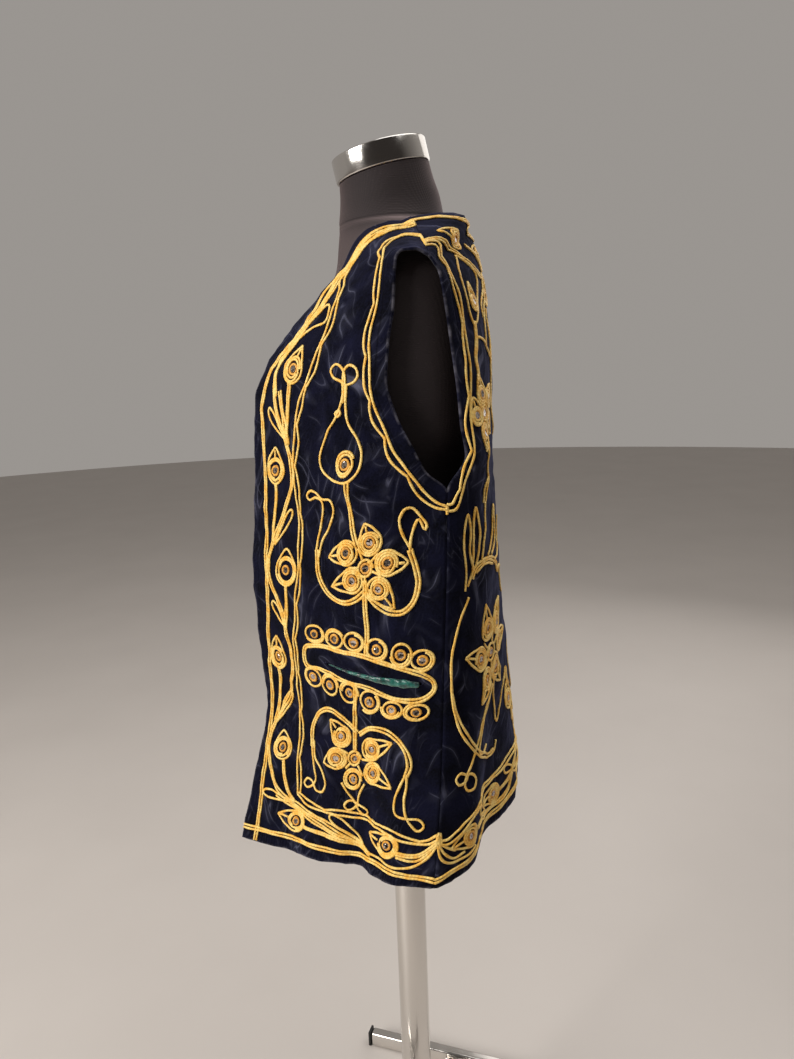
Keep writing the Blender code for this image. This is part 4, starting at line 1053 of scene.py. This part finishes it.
class Embroidery:
    """The cords and mirrors of one panel, in the millimetres of its flat pattern."""

    def __init__(self):
        self.gold, self.amber, self.glass = [], [], []

    def cord(self, points, closed=False):
        self.gold.append(curve(points, closed))

    def pair(self, points, gap=2.7, closed=False):
        """Two cords side by side."""
        line = curve(points, closed)
        self.gold += [beside(line, gap / 2), beside(line, -gap / 2)]

    def wavering(self, points, swing, pitch, gap=2.6):
        """A cord with a second one beside it that swings away and comes back, to the left if positive."""
        line = curve(points)
        along = np.arange(len(line)) * CORD_STEP
        wave = np.abs(np.sin(pi * (along / pitch + 0.16 * np.sin(along / 37)))) ** 0.8
        self.gold += [line, beside(line, np.sign(swing) * gap + swing * wave)]

    def ring(self, centre, reach=11.0, turns=1.9, start=0.0, height=None):
        """A coil of gold round a coil of amber round a mirror. It may be higher or lower than wide. Each
        turn of the coil lies round the next and steps in by a cord where it closes."""
        squash = (height or reach) / reach
        turn = np.linspace(0, turns, int(turns * COIL_POINTS) + 2)
        step = np.floor(turn) + np.clip((turn % 1 - TURN_CLOSES_AT) / (1 - TURN_CLOSES_AT), 0, 1)
        out = reach - CORD_WIDTH / 2 - COIL_PITCH * step
        middle = np.array(centre, float)
        shape = np.stack([np.cos(turn * tau + start), np.sin(turn * tau + start) * squash], axis=1)
        self.gold.append(evenly(middle + out[:, None] * shape))
        turn = np.linspace(0, tau * AMBER_TURNS, COIL_POINTS)
        shape = np.stack([np.cos(turn - start), np.sin(turn - start) * squash**0.5], axis=1)
        self.amber.append(evenly(middle + AMBER_AT * shape))
        self.glass.append(tuple(middle))

    def eye(self, centre, tip, reach=13.3, turns=1.9, height=None, rounded=False):
        """A ring inside an almond of cord, which lies close round it and is drawn out to a tip."""
        centre, tip = np.array(centre, float), np.array(tip, float)
        inner = reach - CORD_WIDTH + EYE_UNDER
        self.ring(centre, inner, turns, centre[0], height and inner + height - reach)
        stretch = np.array([1.0, (height or reach) / reach])
        radius, away = reach - CORD_WIDTH / 2, tip - centre
        heading, length = atan2(away[1], away[0]), np.linalg.norm(away)
        open_by = acos(min(0.93, radius / length)) * EYE_CORNER
        turn = np.linspace(heading + open_by, heading + tau - open_by, 16)
        bow = centre + radius * np.stack([np.cos(turn), np.sin(turn)], axis=1) * stretch
        out = np.array([-away[1], away[0]]) / length * radius * EYE_BULGE
        left, right = bow[0] * 0.5 + tip * 0.5 + out, bow[-1] * 0.5 + tip * 0.5 - out
        if rounded:
            self.cord([*bow, right, tip, left], closed=True)
        else:
            self.cord([tip, left, *bow, right, tip])
        if length - radius > EYE_FILL_FROM:
            heel = centre + away / length * (radius - 1.0)
            self.cord([heel, heel * 0.4 + tip * 0.6, tip - away / length * 3])

    def flower(self, heart, petals, reach=13.0, heart_reach=9.2):
        """Eyes round a small ring, with short cords that fill the places between them."""
        heart = np.array(heart, float)
        for centre, tip in petals:
            if tip is None:
                self.ring(centre, reach - 0.6, 1.9)
            else:
                self.eye(centre, tip, reach)
        self.ring(heart, heart_reach, 1.2)
        for (centre, _), (other, _) in zip(petals, petals[1:] + petals[:1]):
            between = (np.array(centre) + other) / 2 - heart
            self.cord([heart + between * 0.4, heart + between * 0.98])

    def star(self, heart, angles, ring_at=23.0, tip_at=46.0, reach=13.0, heart_reach=9.2):
        """A flower whose eyes point away from the middle at these angles."""
        ways = [np.array([cos(radians(angle)), sin(radians(angle))]) for angle in angles]
        petals = [(heart + way * ring_at, heart + way * tip_at) for way in ways]
        self.flower(heart, petals, reach, heart_reach)

    def leaf(self, base, tip, width=9.0):
        """A narrow leaf outlined with one cord, from its base out to the tip and back."""
        base, tip = np.array(base, float), np.array(tip, float)
        axis = tip - base
        across = np.array([-axis[1], axis[0]]) / np.linalg.norm(axis) * width / 2
        out = [base + axis * share + across * bulge for share, bulge in LEAF_BULGE]
        back = [base + axis * share - across * bulge for share, bulge in LEAF_BULGE[::-1]]
        self.cord([base, *out, tip, *back, base])

    def sewn_on(self, name, panel, seed):
        """Lays everything on the panel: one piece of gold, one of amber and one of glass."""
        made = np.random.default_rng(seed)
        cord_piece("gold_cord_" + name, self.gold, panel, gold_rayon, made)
        cord_piece("amber_cord_" + name, self.amber, panel, amber_rayon, made)
        mirror_piece("mirrors_" + name, self.glass, panel, made)


def cord_piece(name, lines, panel, finish, made):
    """All the cords of one colour on a panel: flattened tubes that sink a little into the pile."""
    turn = np.linspace(0, tau, CORD_SIDES, endpoint=False)
    points, faces, marks, first = [], [], [], 0
    for line in lines:
        n = len(line)
        along = np.arange(n) * CORD_STEP
        sway = SWAY * np.sin(along / made.uniform(*SWAY_PITCHES) + made.uniform(0, tau))
        line = beside(line, sway)
        point, normal = panel.at(line[:, 0], line[:, 1])
        ahead = np.gradient(point, axis=0)
        ahead /= np.maximum(np.linalg.norm(ahead, axis=1, keepdims=True), 1e-9)
        aside = np.cross(normal, ahead)
        wide = CORD_WIDTH / 2 * (1 + UNEVEN * np.sin(along / UNEVEN_PITCH + made.uniform(0, tau)))
        lift = CORD_HEIGHT * CORD_SUNK + made.uniform(0, LOOSE_LIFT)
        middle = point + normal * lift
        tube = (
            middle[:, None]
            + aside[:, None] * (np.cos(turn) * wide[:, None])[:, :, None]
            + normal[:, None] * (np.sin(turn) * CORD_HEIGHT / 2)[None, :, None]
        )
        points.append(tube.reshape(-1, 3))
        face = grid_faces(n, CORD_SIDES, -1, round_columns=True) + first
        ring = np.arange(CORD_SIDES)
        last = first + (n - 1) * CORD_SIDES
        faces += face.tolist() + [(first + ring).tolist(), (last + ring[::-1]).tolist()]
        i, j = np.divmod(np.arange((n - 1) * CORD_SIDES), CORD_SIDES)
        low, high = along[i] / TWIST_PITCH, along[i + 1] / TWIST_PITCH
        here, there = j / CORD_SIDES, (j + 1) / CORD_SIDES
        corner = np.stack(
            [
                np.stack([low + here, here], axis=1),
                np.stack([low + there, there], axis=1),
                np.stack([high + there, there], axis=1),
                np.stack([high + here, here], axis=1),
            ],
            axis=1,
        )[:, ::-1]
        marks += [corner.reshape(-1, 2), np.zeros((2 * CORD_SIDES, 2))]
        first += n * CORD_SIDES
    piece = new_mesh(name, np.concatenate(points) * MM, faces, [finish], "velvet")
    uv = piece.data.uv_layers.new(name="twist")
    uv.data.foreach_set("uv", np.concatenate(marks).astype(np.float32).ravel())
    return piece


def twisted_rayon(name, light, deep, shadow):
    """Twisted rayon cord: silky threads that wind round it, one turn drawn each 3.6 mm, with painted shade,
    the shadow colour, in the valleys between them.
    """
    finish = new_finish(name)
    winding = add_node(finish, "UVMap", {}, uv_map="twist")[0]
    strand = add_node(
        finish, "TexWave", {"Vector": winding, "Scale": 0.314159, "Distortion": 0.0}, bands_direction="X"
    )["Fac"]
    place = add_node(finish, "TexCoord", {})["Object"]
    worn = add_node(finish, "TexNoise", {"Vector": place, "Scale": 120.0, "Detail": 5.0})["Fac"]
    fibre = add_node(finish, "TexNoise", {"Vector": place, "Scale": 1300.0, "Detail": 2.0})["Fac"]
    patch = add_node(finish, "MapRange", {"Value": worn, "From Min": 0.38, "From Max": 0.6})[0]
    base = add_node(finish, "Mix", {0: patch, 6: srgb(deep), 7: srgb(light)}, data_type="RGBA")[2]
    # Painted shade: the valleys of the twist are darkened toward the shadow colour.
    valley_shade = add_node(
        finish, "MapRange", {"Value": strand, "From Min": 0.3, "From Max": 0.0, "To Max": 0.28}
    )[0]
    tone = add_node(finish, "Mix", {0: valley_shade, 6: base, 7: srgb(shadow)}, data_type="RGBA")[2]
    fine = add_node(finish, "Math", {0: fibre, 1: 0.8}, operation="MULTIPLY")[0]
    height = add_node(finish, "Math", {0: strand, 1: fine}, operation="ADD")[0]
    relief = add_node(finish, "Bump", {"Height": height, "Strength": 0.35, "Distance": 0.0004})[0]
    silky = add_node(
        finish,
        "BsdfPrincipled",
        {"Base Color": tone, "Roughness": 0.5, "Normal": relief, "Specular IOR Level": 0.45,
         "Sheen Weight": 0.2, "Sheen Roughness": 0.35, "Sheen Tint": srgb("#fff0c0")},
    )[0]
    add_node(finish, "OutputMaterial", {"Surface": silky})
    return finish


# The third colour of each cord is the painted shade in its twist's valleys.
gold_rayon = twisted_rayon("twisted gold rayon cord", "#ffdc80", "#f5bc4c", "#a8701f")
amber_rayon = twisted_rayon("twisted amber rayon cord", "#ecad45", "#d2912c", "#7a4a14")

# Silvered glass, 6.8 mm across and cut by hand: bright, a little uneven, with small dark spots where the
# silvering has gone.
mirror_glass = new_finish("silvered glass")
place = add_node(mirror_glass, "TexCoord", {})["Object"]
uneven = add_node(mirror_glass, "TexNoise", {"Vector": place, "Scale": 180.0, "Detail": 1.0})["Fac"]
spots = add_node(mirror_glass, "TexNoise", {"Vector": place, "Scale": 520.0, "Detail": 3.0})["Fac"]
gone = add_node(mirror_glass, "MapRange", {"Value": spots, "From Min": 0.52, "From Max": 0.62})[0]
tone = add_node(mirror_glass, "Mix", {0: gone, 6: srgb("#c4bab2"), 7: srgb("#2c221e")}, data_type="RGBA")[2]
relief = add_node(mirror_glass, "Bump", {"Height": uneven, "Strength": 0.7, "Distance": 0.002})[0]
silvered = add_node(
    mirror_glass, "BsdfPrincipled", {"Base Color": tone, "Metallic": 1.0, "Roughness": 0.09, "Normal": relief}
)[0]
add_node(mirror_glass, "OutputMaterial", {"Surface": silvered})

deselect()
bpy.ops.mesh.primitive_cylinder_add(
    vertices=16, radius=GLASS_RADIUS * MM, depth=GLASS_DEPTH * MM, location=(0, 0, 0)
)
glass_blank = finished(
    bpy.context.object, "BEVEL", width=GLASS_EASE * MM, segments=1, limit_method="ANGLE"
)
glass_points = np.array([vertex.co for vertex in glass_blank.data.vertices])
glass_faces = [tuple(face.vertices) for face in glass_blank.data.polygons]
bpy.data.objects.remove(glass_blank)


def mirror_piece(name, places, panel, made):
    """The panel's mirrors, each a copy of the one blank, set square to the cloth with a small tilt."""
    point, normal = panel.at(*np.array(places).T)
    points, faces = [], []
    for middle, up in zip(point, normal):
        lean = Vector(up) + Vector(made.uniform(-GLASS_TILT, GLASS_TILT, 3))
        turn = np.array(lean.to_track_quat("Z", "Y").to_matrix())
        faces += [tuple(corner + len(points) * len(glass_points) for corner in face) for face in glass_faces]
        points.append(glass_points @ turn.T + (middle + up * GLASS_UP) * MM)
    return new_mesh(name, np.concatenate(points), faces, [mirror_glass], "velvet", smooth=False)


def front_design():
    """The embroidery of a front: two borders with a vine of eyes between them, the armhole's cords, a
    teardrop, a flower with two long arms, the rings round the pocket and a second flower under it."""
    sewing = Embroidery()
    sewing.pair(
        [(21, 1), (20, 21), (18, 48), (16, 67), (14, 88), (11, 117), (10, 150), (11, 180), (16, 220),
         (21, 260), (25, 290), (26, 334), (25, 359), (23, 400), (20, 444), (17, 478), (23, 505),
         (33, 519), (43, 533), (52, 544), (59, 557), (60, 575), (56, 594), (59, 609), (70, 620),
         (78, 627), (84, 635), (87, 644), (93, 657), (93, 677), (91, 698)],
        3.0,
    )
    sewing.pair(
        [(1, 15), (30, 15), (69, 15), (115, 14), (148, 12), (184, 13), (208, 13), (230, 10), (247, 8),
         (256, 7)],
        3.0,
    )
    sewing.wavering(
        [(99, 700), (93, 680), (84, 655), (80, 630), (80, 603), (88, 586), (94, 569), (98, 551),
         (99, 533), (95, 513), (87, 493), (79, 470), (75, 441), (75, 408), (78, 375), (81, 340),
         (79, 310), (72, 280), (64, 245), (60, 200), (58, 171), (60, 130), (64, 95), (70, 66)],
        3.4, 43.0,
    )
    sewing.wavering(
        [(70, 66), (87, 58), (110, 55), (130, 53), (168, 52), (193, 50), (213, 45), (239, 42),
         (249, 47)],
        2.6, 52.0,
    )
    sewing.wavering(
        [(150, 668), (136, 664), (121, 654), (117, 642), (123, 627), (136, 605), (142, 588),
         (147, 572), (151, 556), (154, 540), (157, 524), (159, 508), (160, 492), (164, 476),
         (170, 456), (179, 438), (187, 422), (198, 407), (208, 392), (219, 375), (231, 362), (246, 354)],
        -3.6, 45.0,
    )

    # The vine: eyes on short stems, a leaf across from each, and the stem that joins them.
    sewing.pair(
        [(88, 706), (85, 684), (78, 660), (72, 632), (67, 608), (68, 588), (68, 570), (65, 553),
         (58, 537), (50, 522), (40, 508), (41, 492), (49, 470), (57, 455), (65, 437)],
        2.8,
    )
    sewing.pair(
        [(81, 655), (76, 632), (73, 606), (72, 582), (66, 556), (55, 538), (46, 522), (41, 505),
         (45, 485)],
        2.4,
    )
    sewing.pair([(52, 490), (57, 472), (62, 455), (66, 437)], 2.6)
    sewing.cord([(84, 690), (88, 650), (84, 620), (80, 598), (75, 575), (68, 556)])
    sewing.cord([(60, 543), (68, 556), (75, 567), (82, 572), (91, 562), (93, 552), (78, 549), (62, 541)])
    sewing.pair(
        [(65, 437), (72, 417), (71, 397), (60, 377), (46, 354), (38, 338), (31, 323), (31, 304),
         (40, 284), (50, 264), (52, 246)],
    )
    sewing.pair(
        [(52, 246), (56, 225), (54, 205), (46, 180), (32, 160), (18, 141), (14, 119), (22, 92),
         (37, 69), (55, 58), (67, 55)],
    )
    sewing.pair([(67, 55), (84, 51), (115, 44), (136, 35), (156, 25), (174, 19)], 3.0)
    sewing.pair([(40, 60), (58, 53), (84, 46), (112, 38), (134, 30), (156, 23), (176, 18)], 2.6)
    for centre, tip, reach, height, rounded, stem in (
        ((69, 509), (75, 531), 12.6, 15.6, False, ((66, 496), (65, 475), (65, 455), (65, 437))),
        ((43, 413), (42, 436), 15.0, None, True, ((43, 399), (42, 384), (39, 363), (38, 340))),
        ((60, 311), (62, 333), 17.0, None, True, ((59, 296), (57, 280), (54, 262), (52, 248))),
        ((32, 217), (33, 240), 14.5, None, False, ((31, 203), (28, 185), (24, 165), (17, 142))),
        ((37, 114), (33, 133), 14.5, None, True, ((42, 100), (48, 80), (57, 64), (66, 56))),
        ((74, 35), (47, 39), 15.0, 12.5, False, ((88, 32), (112, 30), (134, 27), (172, 19))),
        ((198, 37), (171, 42), 15.0, 12.8, False, ((211, 32), (232, 31), (243, 38), (249, 45))),
    ):
        sewing.eye(centre, tip, reach, 1.9, height, rounded)
        sewing.pair(stem, 2.3)
    for base, tip in (
        ((63, 442), (33, 475)), ((42, 337), (69, 372)), ((51, 252), (32, 277)), ((20, 141), (47, 179)),
        ((64, 55), (20, 60)), ((163, 25), (120, 52)),
    ):
        sewing.leaf(base, tip)
    sewing.cord([(174, 19), (192, 20), (211, 18), (230, 20), (242, 29), (249, 43)])
    sewing.cord([(212, 28), (232, 26), (242, 34), (248, 44)])
    sewing.cord([(247.5, 40), (248, 51)])

    # The teardrop and its stem.
    sewing.cord(
        [(134, 487), (135, 474), (131, 461), (120, 444), (111, 429), (113, 413), (129, 400),
         (146, 397), (156, 405), (158, 419), (153, 435), (143, 451), (139, 465), (138, 480), (138, 487)],
    )
    sewing.cord(
        [(137, 486), (131, 490), (123, 494), (119, 501), (125, 505), (132, 501), (136, 492), (138, 470)],
    )
    sewing.cord(
        [(135, 470), (134, 490), (134, 498), (139, 503), (146, 500), (148, 493), (144, 488), (136, 486)],
    )
    sewing.cord([(128, 462), (132, 464), (134, 460), (130, 458), (128, 462)])
    sewing.ring((142, 414), 10.8, 1.9, 0.4, 13.0)
    sewing.pair([(146, 398), (146, 376), (150, 354), (157, 334)], 2.9)

    # The flower, its arms and its stem down to the pocket.
    sewing.flower(
        (166, 313),
        [((145, 328), (124, 325)), ((170, 336), (165, 354)), ((188, 316), (207, 314)),
         ((179, 293), (193, 273)), ((151, 302), (127, 297))],
        12.8,
    )
    sewing.pair([(166, 292), (155, 284), (143, 281), (126, 287), (114, 300), (109, 313), (108, 332)], 3.2)
    sewing.cord(
        [(107, 332), (110, 345), (113, 361), (113, 379), (104, 384), (96, 382), (93, 387), (97, 391),
         (105, 389), (113, 382), (123, 380), (127, 370), (123, 353), (114, 339), (110, 325)],
    )
    sewing.pair(
        [(166, 290), (176, 279), (189, 270), (202, 269), (212, 278), (216, 295), (213, 312), (208, 325)],
        3.2,
    )
    sewing.cord(
        [(209, 325), (199, 342), (196, 354), (200, 362), (207, 362), (215, 353), (222, 343),
         (221, 340), (214, 350), (209, 337), (208, 322)],
    )
    sewing.pair([(165, 302), (165, 265), (163, 229)], 2.9)

    # The pocket: an outline of two cords, rings above and below it.
    sewing.pair(
        [(82, 233), (97, 236), (131, 233), (167, 227), (196, 216), (218, 207), (226, 200), (227, 192),
         (221, 186), (210, 183), (188, 186), (163, 196), (129, 204), (100, 212), (83, 213), (79, 222)],
        2.6, closed=True,
    )
    for place, reach, height in (
        ((98, 248), 15.0, 9.6), ((126, 245), 13.0, 10.3), ((149, 242), 12.6, 10.8), ((174, 235), 12.4, 11.6),
        ((198, 229), 11.5, 13.0), ((218, 221), 12.2, 11.2), ((89, 202), 14.0, 11.5), ((113, 196), 13.0, 12.4),
        ((138, 190), 12.6, 12.8), ((161, 182), 12.6, 12.4), ((185, 175), 12.4, 9.2), ((209, 172), 13.0, 9.2),
    ):
        sewing.ring(place, reach, 1.5, place[0], height)

    # The lower flower under the pocket.
    sewing.pair([(147, 201), (145, 188), (142, 172), (140, 152), (139, 128)], 2.9)
    sewing.flower(
        (139.5, 118),
        [((122, 141), (108, 158)), ((161, 131), (186, 142)), ((166, 106), (193, 97)), ((141, 95), None),
         ((118, 116), (104, 109))],
    )
    sewing.pair([(143, 147), (133, 156), (118, 165), (104, 168), (89, 160), (80, 144), (83, 124)], 3.0)
    sewing.cord(
        [(82, 124), (90, 104), (94, 88), (89, 80), (82, 77), (77, 81), (81, 87), (89, 85), (97, 76),
         (106, 76), (109, 86), (101, 101), (91, 112), (84, 130)],
    )
    sewing.pair([(145, 146), (159, 154), (173, 154), (188, 148), (202, 134), (207, 120), (205, 109)], 3.0)
    sewing.cord(
        [(206, 112), (208, 98), (208, 86), (212, 71), (219, 61), (227, 55), (231, 59), (225, 66),
         (214, 68), (203, 72), (199, 86), (201, 100), (205, 112)],
    )
    sewing.cord([(128, 90), (137, 78), (145, 69), (150, 61), (159, 57), (161, 62), (152, 67), (143, 70)])
    sewing.cord(
        [(156, 92), (149, 78), (148, 69), (144, 62), (138, 60), (134, 65), (137, 70), (144, 70),
         (150, 66)],
    )
    return sewing


def back_design():
    """The embroidery of the back, the same on both sides of its middle: borders at the hem, neck and
    armholes, tall arms round a large flower on each side, and a stem of flowers up the middle."""
    half = Embroidery()
    half.pair([(0, 14), (70, 14), (140, 13), (200, 13), (240, 10), (270, 7)], 3.0)
    half.wavering(
        [(258, 47), (250, 44), (238, 48), (222, 56), (190, 60), (150, 57), (110, 60), (70, 57),
         (30, 60), (0, 58)],
        2.6, 56.0,
    )
    half.cord([(258, 46), (254, 32), (244, 22), (232, 24)])
    half.cord([(259, 45), (257, 28), (248, 19), (230, 18), (214, 20)])
    half.cord([(259, 46), (249, 36), (242, 30)])
    half.cord([(257, 38), (257, 54)])
    half.cord([(254.4, 40), (254.6, 53)])
    for place, tip in (((222, 36), (246, 33)), ((152, 35), (180, 38)), ((80, 34), (108, 38))):
        half.eye(place, tip, 12.6)
    half.pair([(208, 36), (190, 32), (176, 24), (150, 21), (120, 22), (108, 36)], 2.4)
    half.pair([(139, 33), (118, 34), (106, 42), (90, 50), (62, 48), (45, 36), (20, 25), (0, 23)], 2.4)
    half.leaf((172, 27), (198, 49))
    half.leaf((102, 38), (128, 51))
    half.leaf((40, 34), (62, 50))

    # The tall arm and the flower inside it.
    half.cord(
        [(198, 271), (207, 257), (214, 242), (220, 221), (223, 206), (224, 185), (224, 165),
         (221, 146), (214, 129), (200, 112), (180, 97), (159, 85), (145, 84), (141, 94)],
    )
    half.cord(
        [(224, 185), (221, 163), (217, 146), (210, 131), (196, 114), (177, 100), (158, 88), (146, 87)],
    )
    half.flower(
        (158, 201),
        [((163, 229), (170, 255)), ((136, 226), (118, 246)), ((126, 200), (100, 204)),
         ((143, 176), (126, 156)), ((171, 176), (190, 158)), ((182, 203), (206, 212))],
        13.4, 11.0,
    )
    half.cord([(152, 162), (160, 155), (175, 151), (189, 137), (201, 123), (213, 105), (219, 98)])
    half.cord([(158, 168), (164, 151), (176, 142), (190, 126), (197, 112), (186, 106), (174, 108)])
    half.cord(
        [(219, 99), (226, 103), (231, 99), (228, 92), (221, 93), (217, 99), (211, 97), (208, 90), (212, 83),
         (219, 83), (222, 90), (219, 99)]
    )
    half.cord([(150, 172), (148, 138), (139, 114), (132, 128), (118, 148), (104, 160)])
    half.pair([(104, 160), (97, 144), (92, 134)], 2.4)
    half.eye((100, 122), (98, 142), 12.4)
    half.pair([(94, 108), (80, 88), (60, 70), (44, 62)], 2.4)
    half.pair([(191, 286), (187, 292), (179, 297), (163, 298), (148, 294), (134, 286), (121, 272)], 2.8)
    half.cord([(184, 290), (172, 294), (160, 293), (146, 288)])
    for line in (
        [(203, 278), (199, 296), (201, 315), (197, 334), (190, 347), (188, 330), (192, 312), (189, 294),
         (198, 281)],
        [(189, 294), (186, 318), (180, 352), (177, 330), (180, 308), (184, 296)],
        [(176, 298), (170, 320), (158, 352)],
        [(160, 300), (146, 312), (136, 326), (128, 344), (126, 326), (134, 308), (148, 298)],
        [(134, 288), (118, 292), (104, 306), (98, 326)],
        [(121, 272), (104, 274), (92, 262), (86, 240)],
    ):
        half.cord(line)

    # Above it a flower, a bud on its stem, a twig and a long leaf.
    half.cord([(157, 352), (152, 376), (155, 398), (152, 414)])
    half.cord([(152, 376), (160, 368), (164, 352)])
    half.flower(
        (152, 441),
        [((155, 459), (157, 477)), ((137, 453), (122, 466)), ((138, 431), (124, 417)),
         ((156, 423), (160, 406)), ((168, 442), (172, 458))],
        10.6, 8.6,
    )
    half.pair([(155, 474), (156, 492), (149, 508), (145, 524)], 2.2)
    half.eye((136, 541), (134, 560), 9.6)
    half.cord([(127, 588), (140, 574), (150, 552), (151, 530), (146, 518)])
    half.cord([(125, 588), (113, 580), (107, 568), (114, 550), (128, 534), (142, 522)])
    half.cord([(147, 510), (136, 508), (121, 502), (107, 490)])
    half.cord([(116, 525), (112, 534), (100, 546), (90, 552)])
    half.cord([(118, 501), (114, 515), (102, 532), (88, 542)])
    half.eye((77, 545), (66, 570), 11.6)
    half.pair([(84, 532), (98, 505), (104, 480), (96, 440), (80, 410)], 2.4)

    half.wavering(
        [(150, 618), (146, 609), (152, 597), (158, 585), (161, 576), (164, 564), (164, 543),
         (166, 528), (168, 513), (171, 490), (174, 465), (178, 445), (183, 414), (188, 398),
         (194, 380), (199, 367), (207, 355), (218, 354)],
        3.4, 52.0,
    )

    # The neck border with its eyes.
    half.pair([(90, 640), (84, 630), (74, 621), (56, 611), (34, 605), (0, 602)], 3.0)
    half.wavering(
        [(143, 616), (126, 598), (110, 584), (90, 572), (64, 565), (30, 559), (0, 556)],
        3.0, 44.0,
    )
    half.eye((106, 605), (120, 616), 12.4)
    half.eye((50, 587), (76, 594), 11.4)
    half.pair([(86, 598), (70, 586), (62, 576), (40, 572), (30, 584)], 2.4)
    half.pair([(37, 586), (16, 588), (0, 586)], 2.4)

    # The middle of the back is mirrored with the rest.
    half.cord([(1.4, 556), (1.4, 520), (1.4, 496)])
    half.cord([(1.4, 408), (1.4, 360), (1.4, 324)])
    half.cord([(2, 350), (18, 362), (34, 386), (44, 420), (40, 452), (52, 462), (60, 450), (50, 444)])
    half.cord([(2, 345), (22, 356), (40, 382), (50, 418)])
    half.cord([(1.4, 214), (1.4, 170), (1.4, 110)])
    half.cord([(2, 190), (20, 182), (38, 160), (44, 130), (38, 106), (28, 98), (24, 108), (32, 114)])
    half.cord([(2, 182), (20, 172), (34, 150), (38, 126)])
    half.leaf((2, 150), (26, 132), 7.0)
    half.pair([(2, 100), (16, 84), (30, 68)], 2.4)

    whole = Embroidery()
    for kind in ("gold", "amber"):
        for line in getattr(half, kind):
            getattr(whole, kind).extend([line, line * np.array([-1.0, 1.0])])
    whole.glass = half.glass + [(-across, up) for across, up in half.glass]
    whole.star((0, 452), (90, 18, -54, -126, 162))
    whole.star((0, 270), (90, 38, -14, -66, -114, 194, 142), 28.0, 53.0, 12.6, 14.0)
    whole.eye((0, 84), (0, 112))
    whole.ring((0, 36), 11.4, 1.8)
    return whole


def by_hand(design, seed):
    """Moves every line and mirror a little, as no two sides sewn by hand are the same."""

    def moved(places):
        across, up = places[:, 0], places[:, 1]
        drift = [soft_noise(across, up, DRIFT_PITCH, seed + k) for k in (0, 1)]
        return places + np.stack(drift, axis=1) * DRIFT

    for kind in ("gold", "amber"):
        setattr(design, kind, [moved(line) for line in getattr(design, kind)])
    design.glass = [tuple(place) for place in moved(np.array(design.glass, float))]
    return design


front_design().sewn_on("left", left_front, 3)
by_hand(front_design(), 21).sewn_on("right", right_front, 4)
by_hand(back_design(), 35).sewn_on("back", back, 5)

bpy.context.view_layer.update()
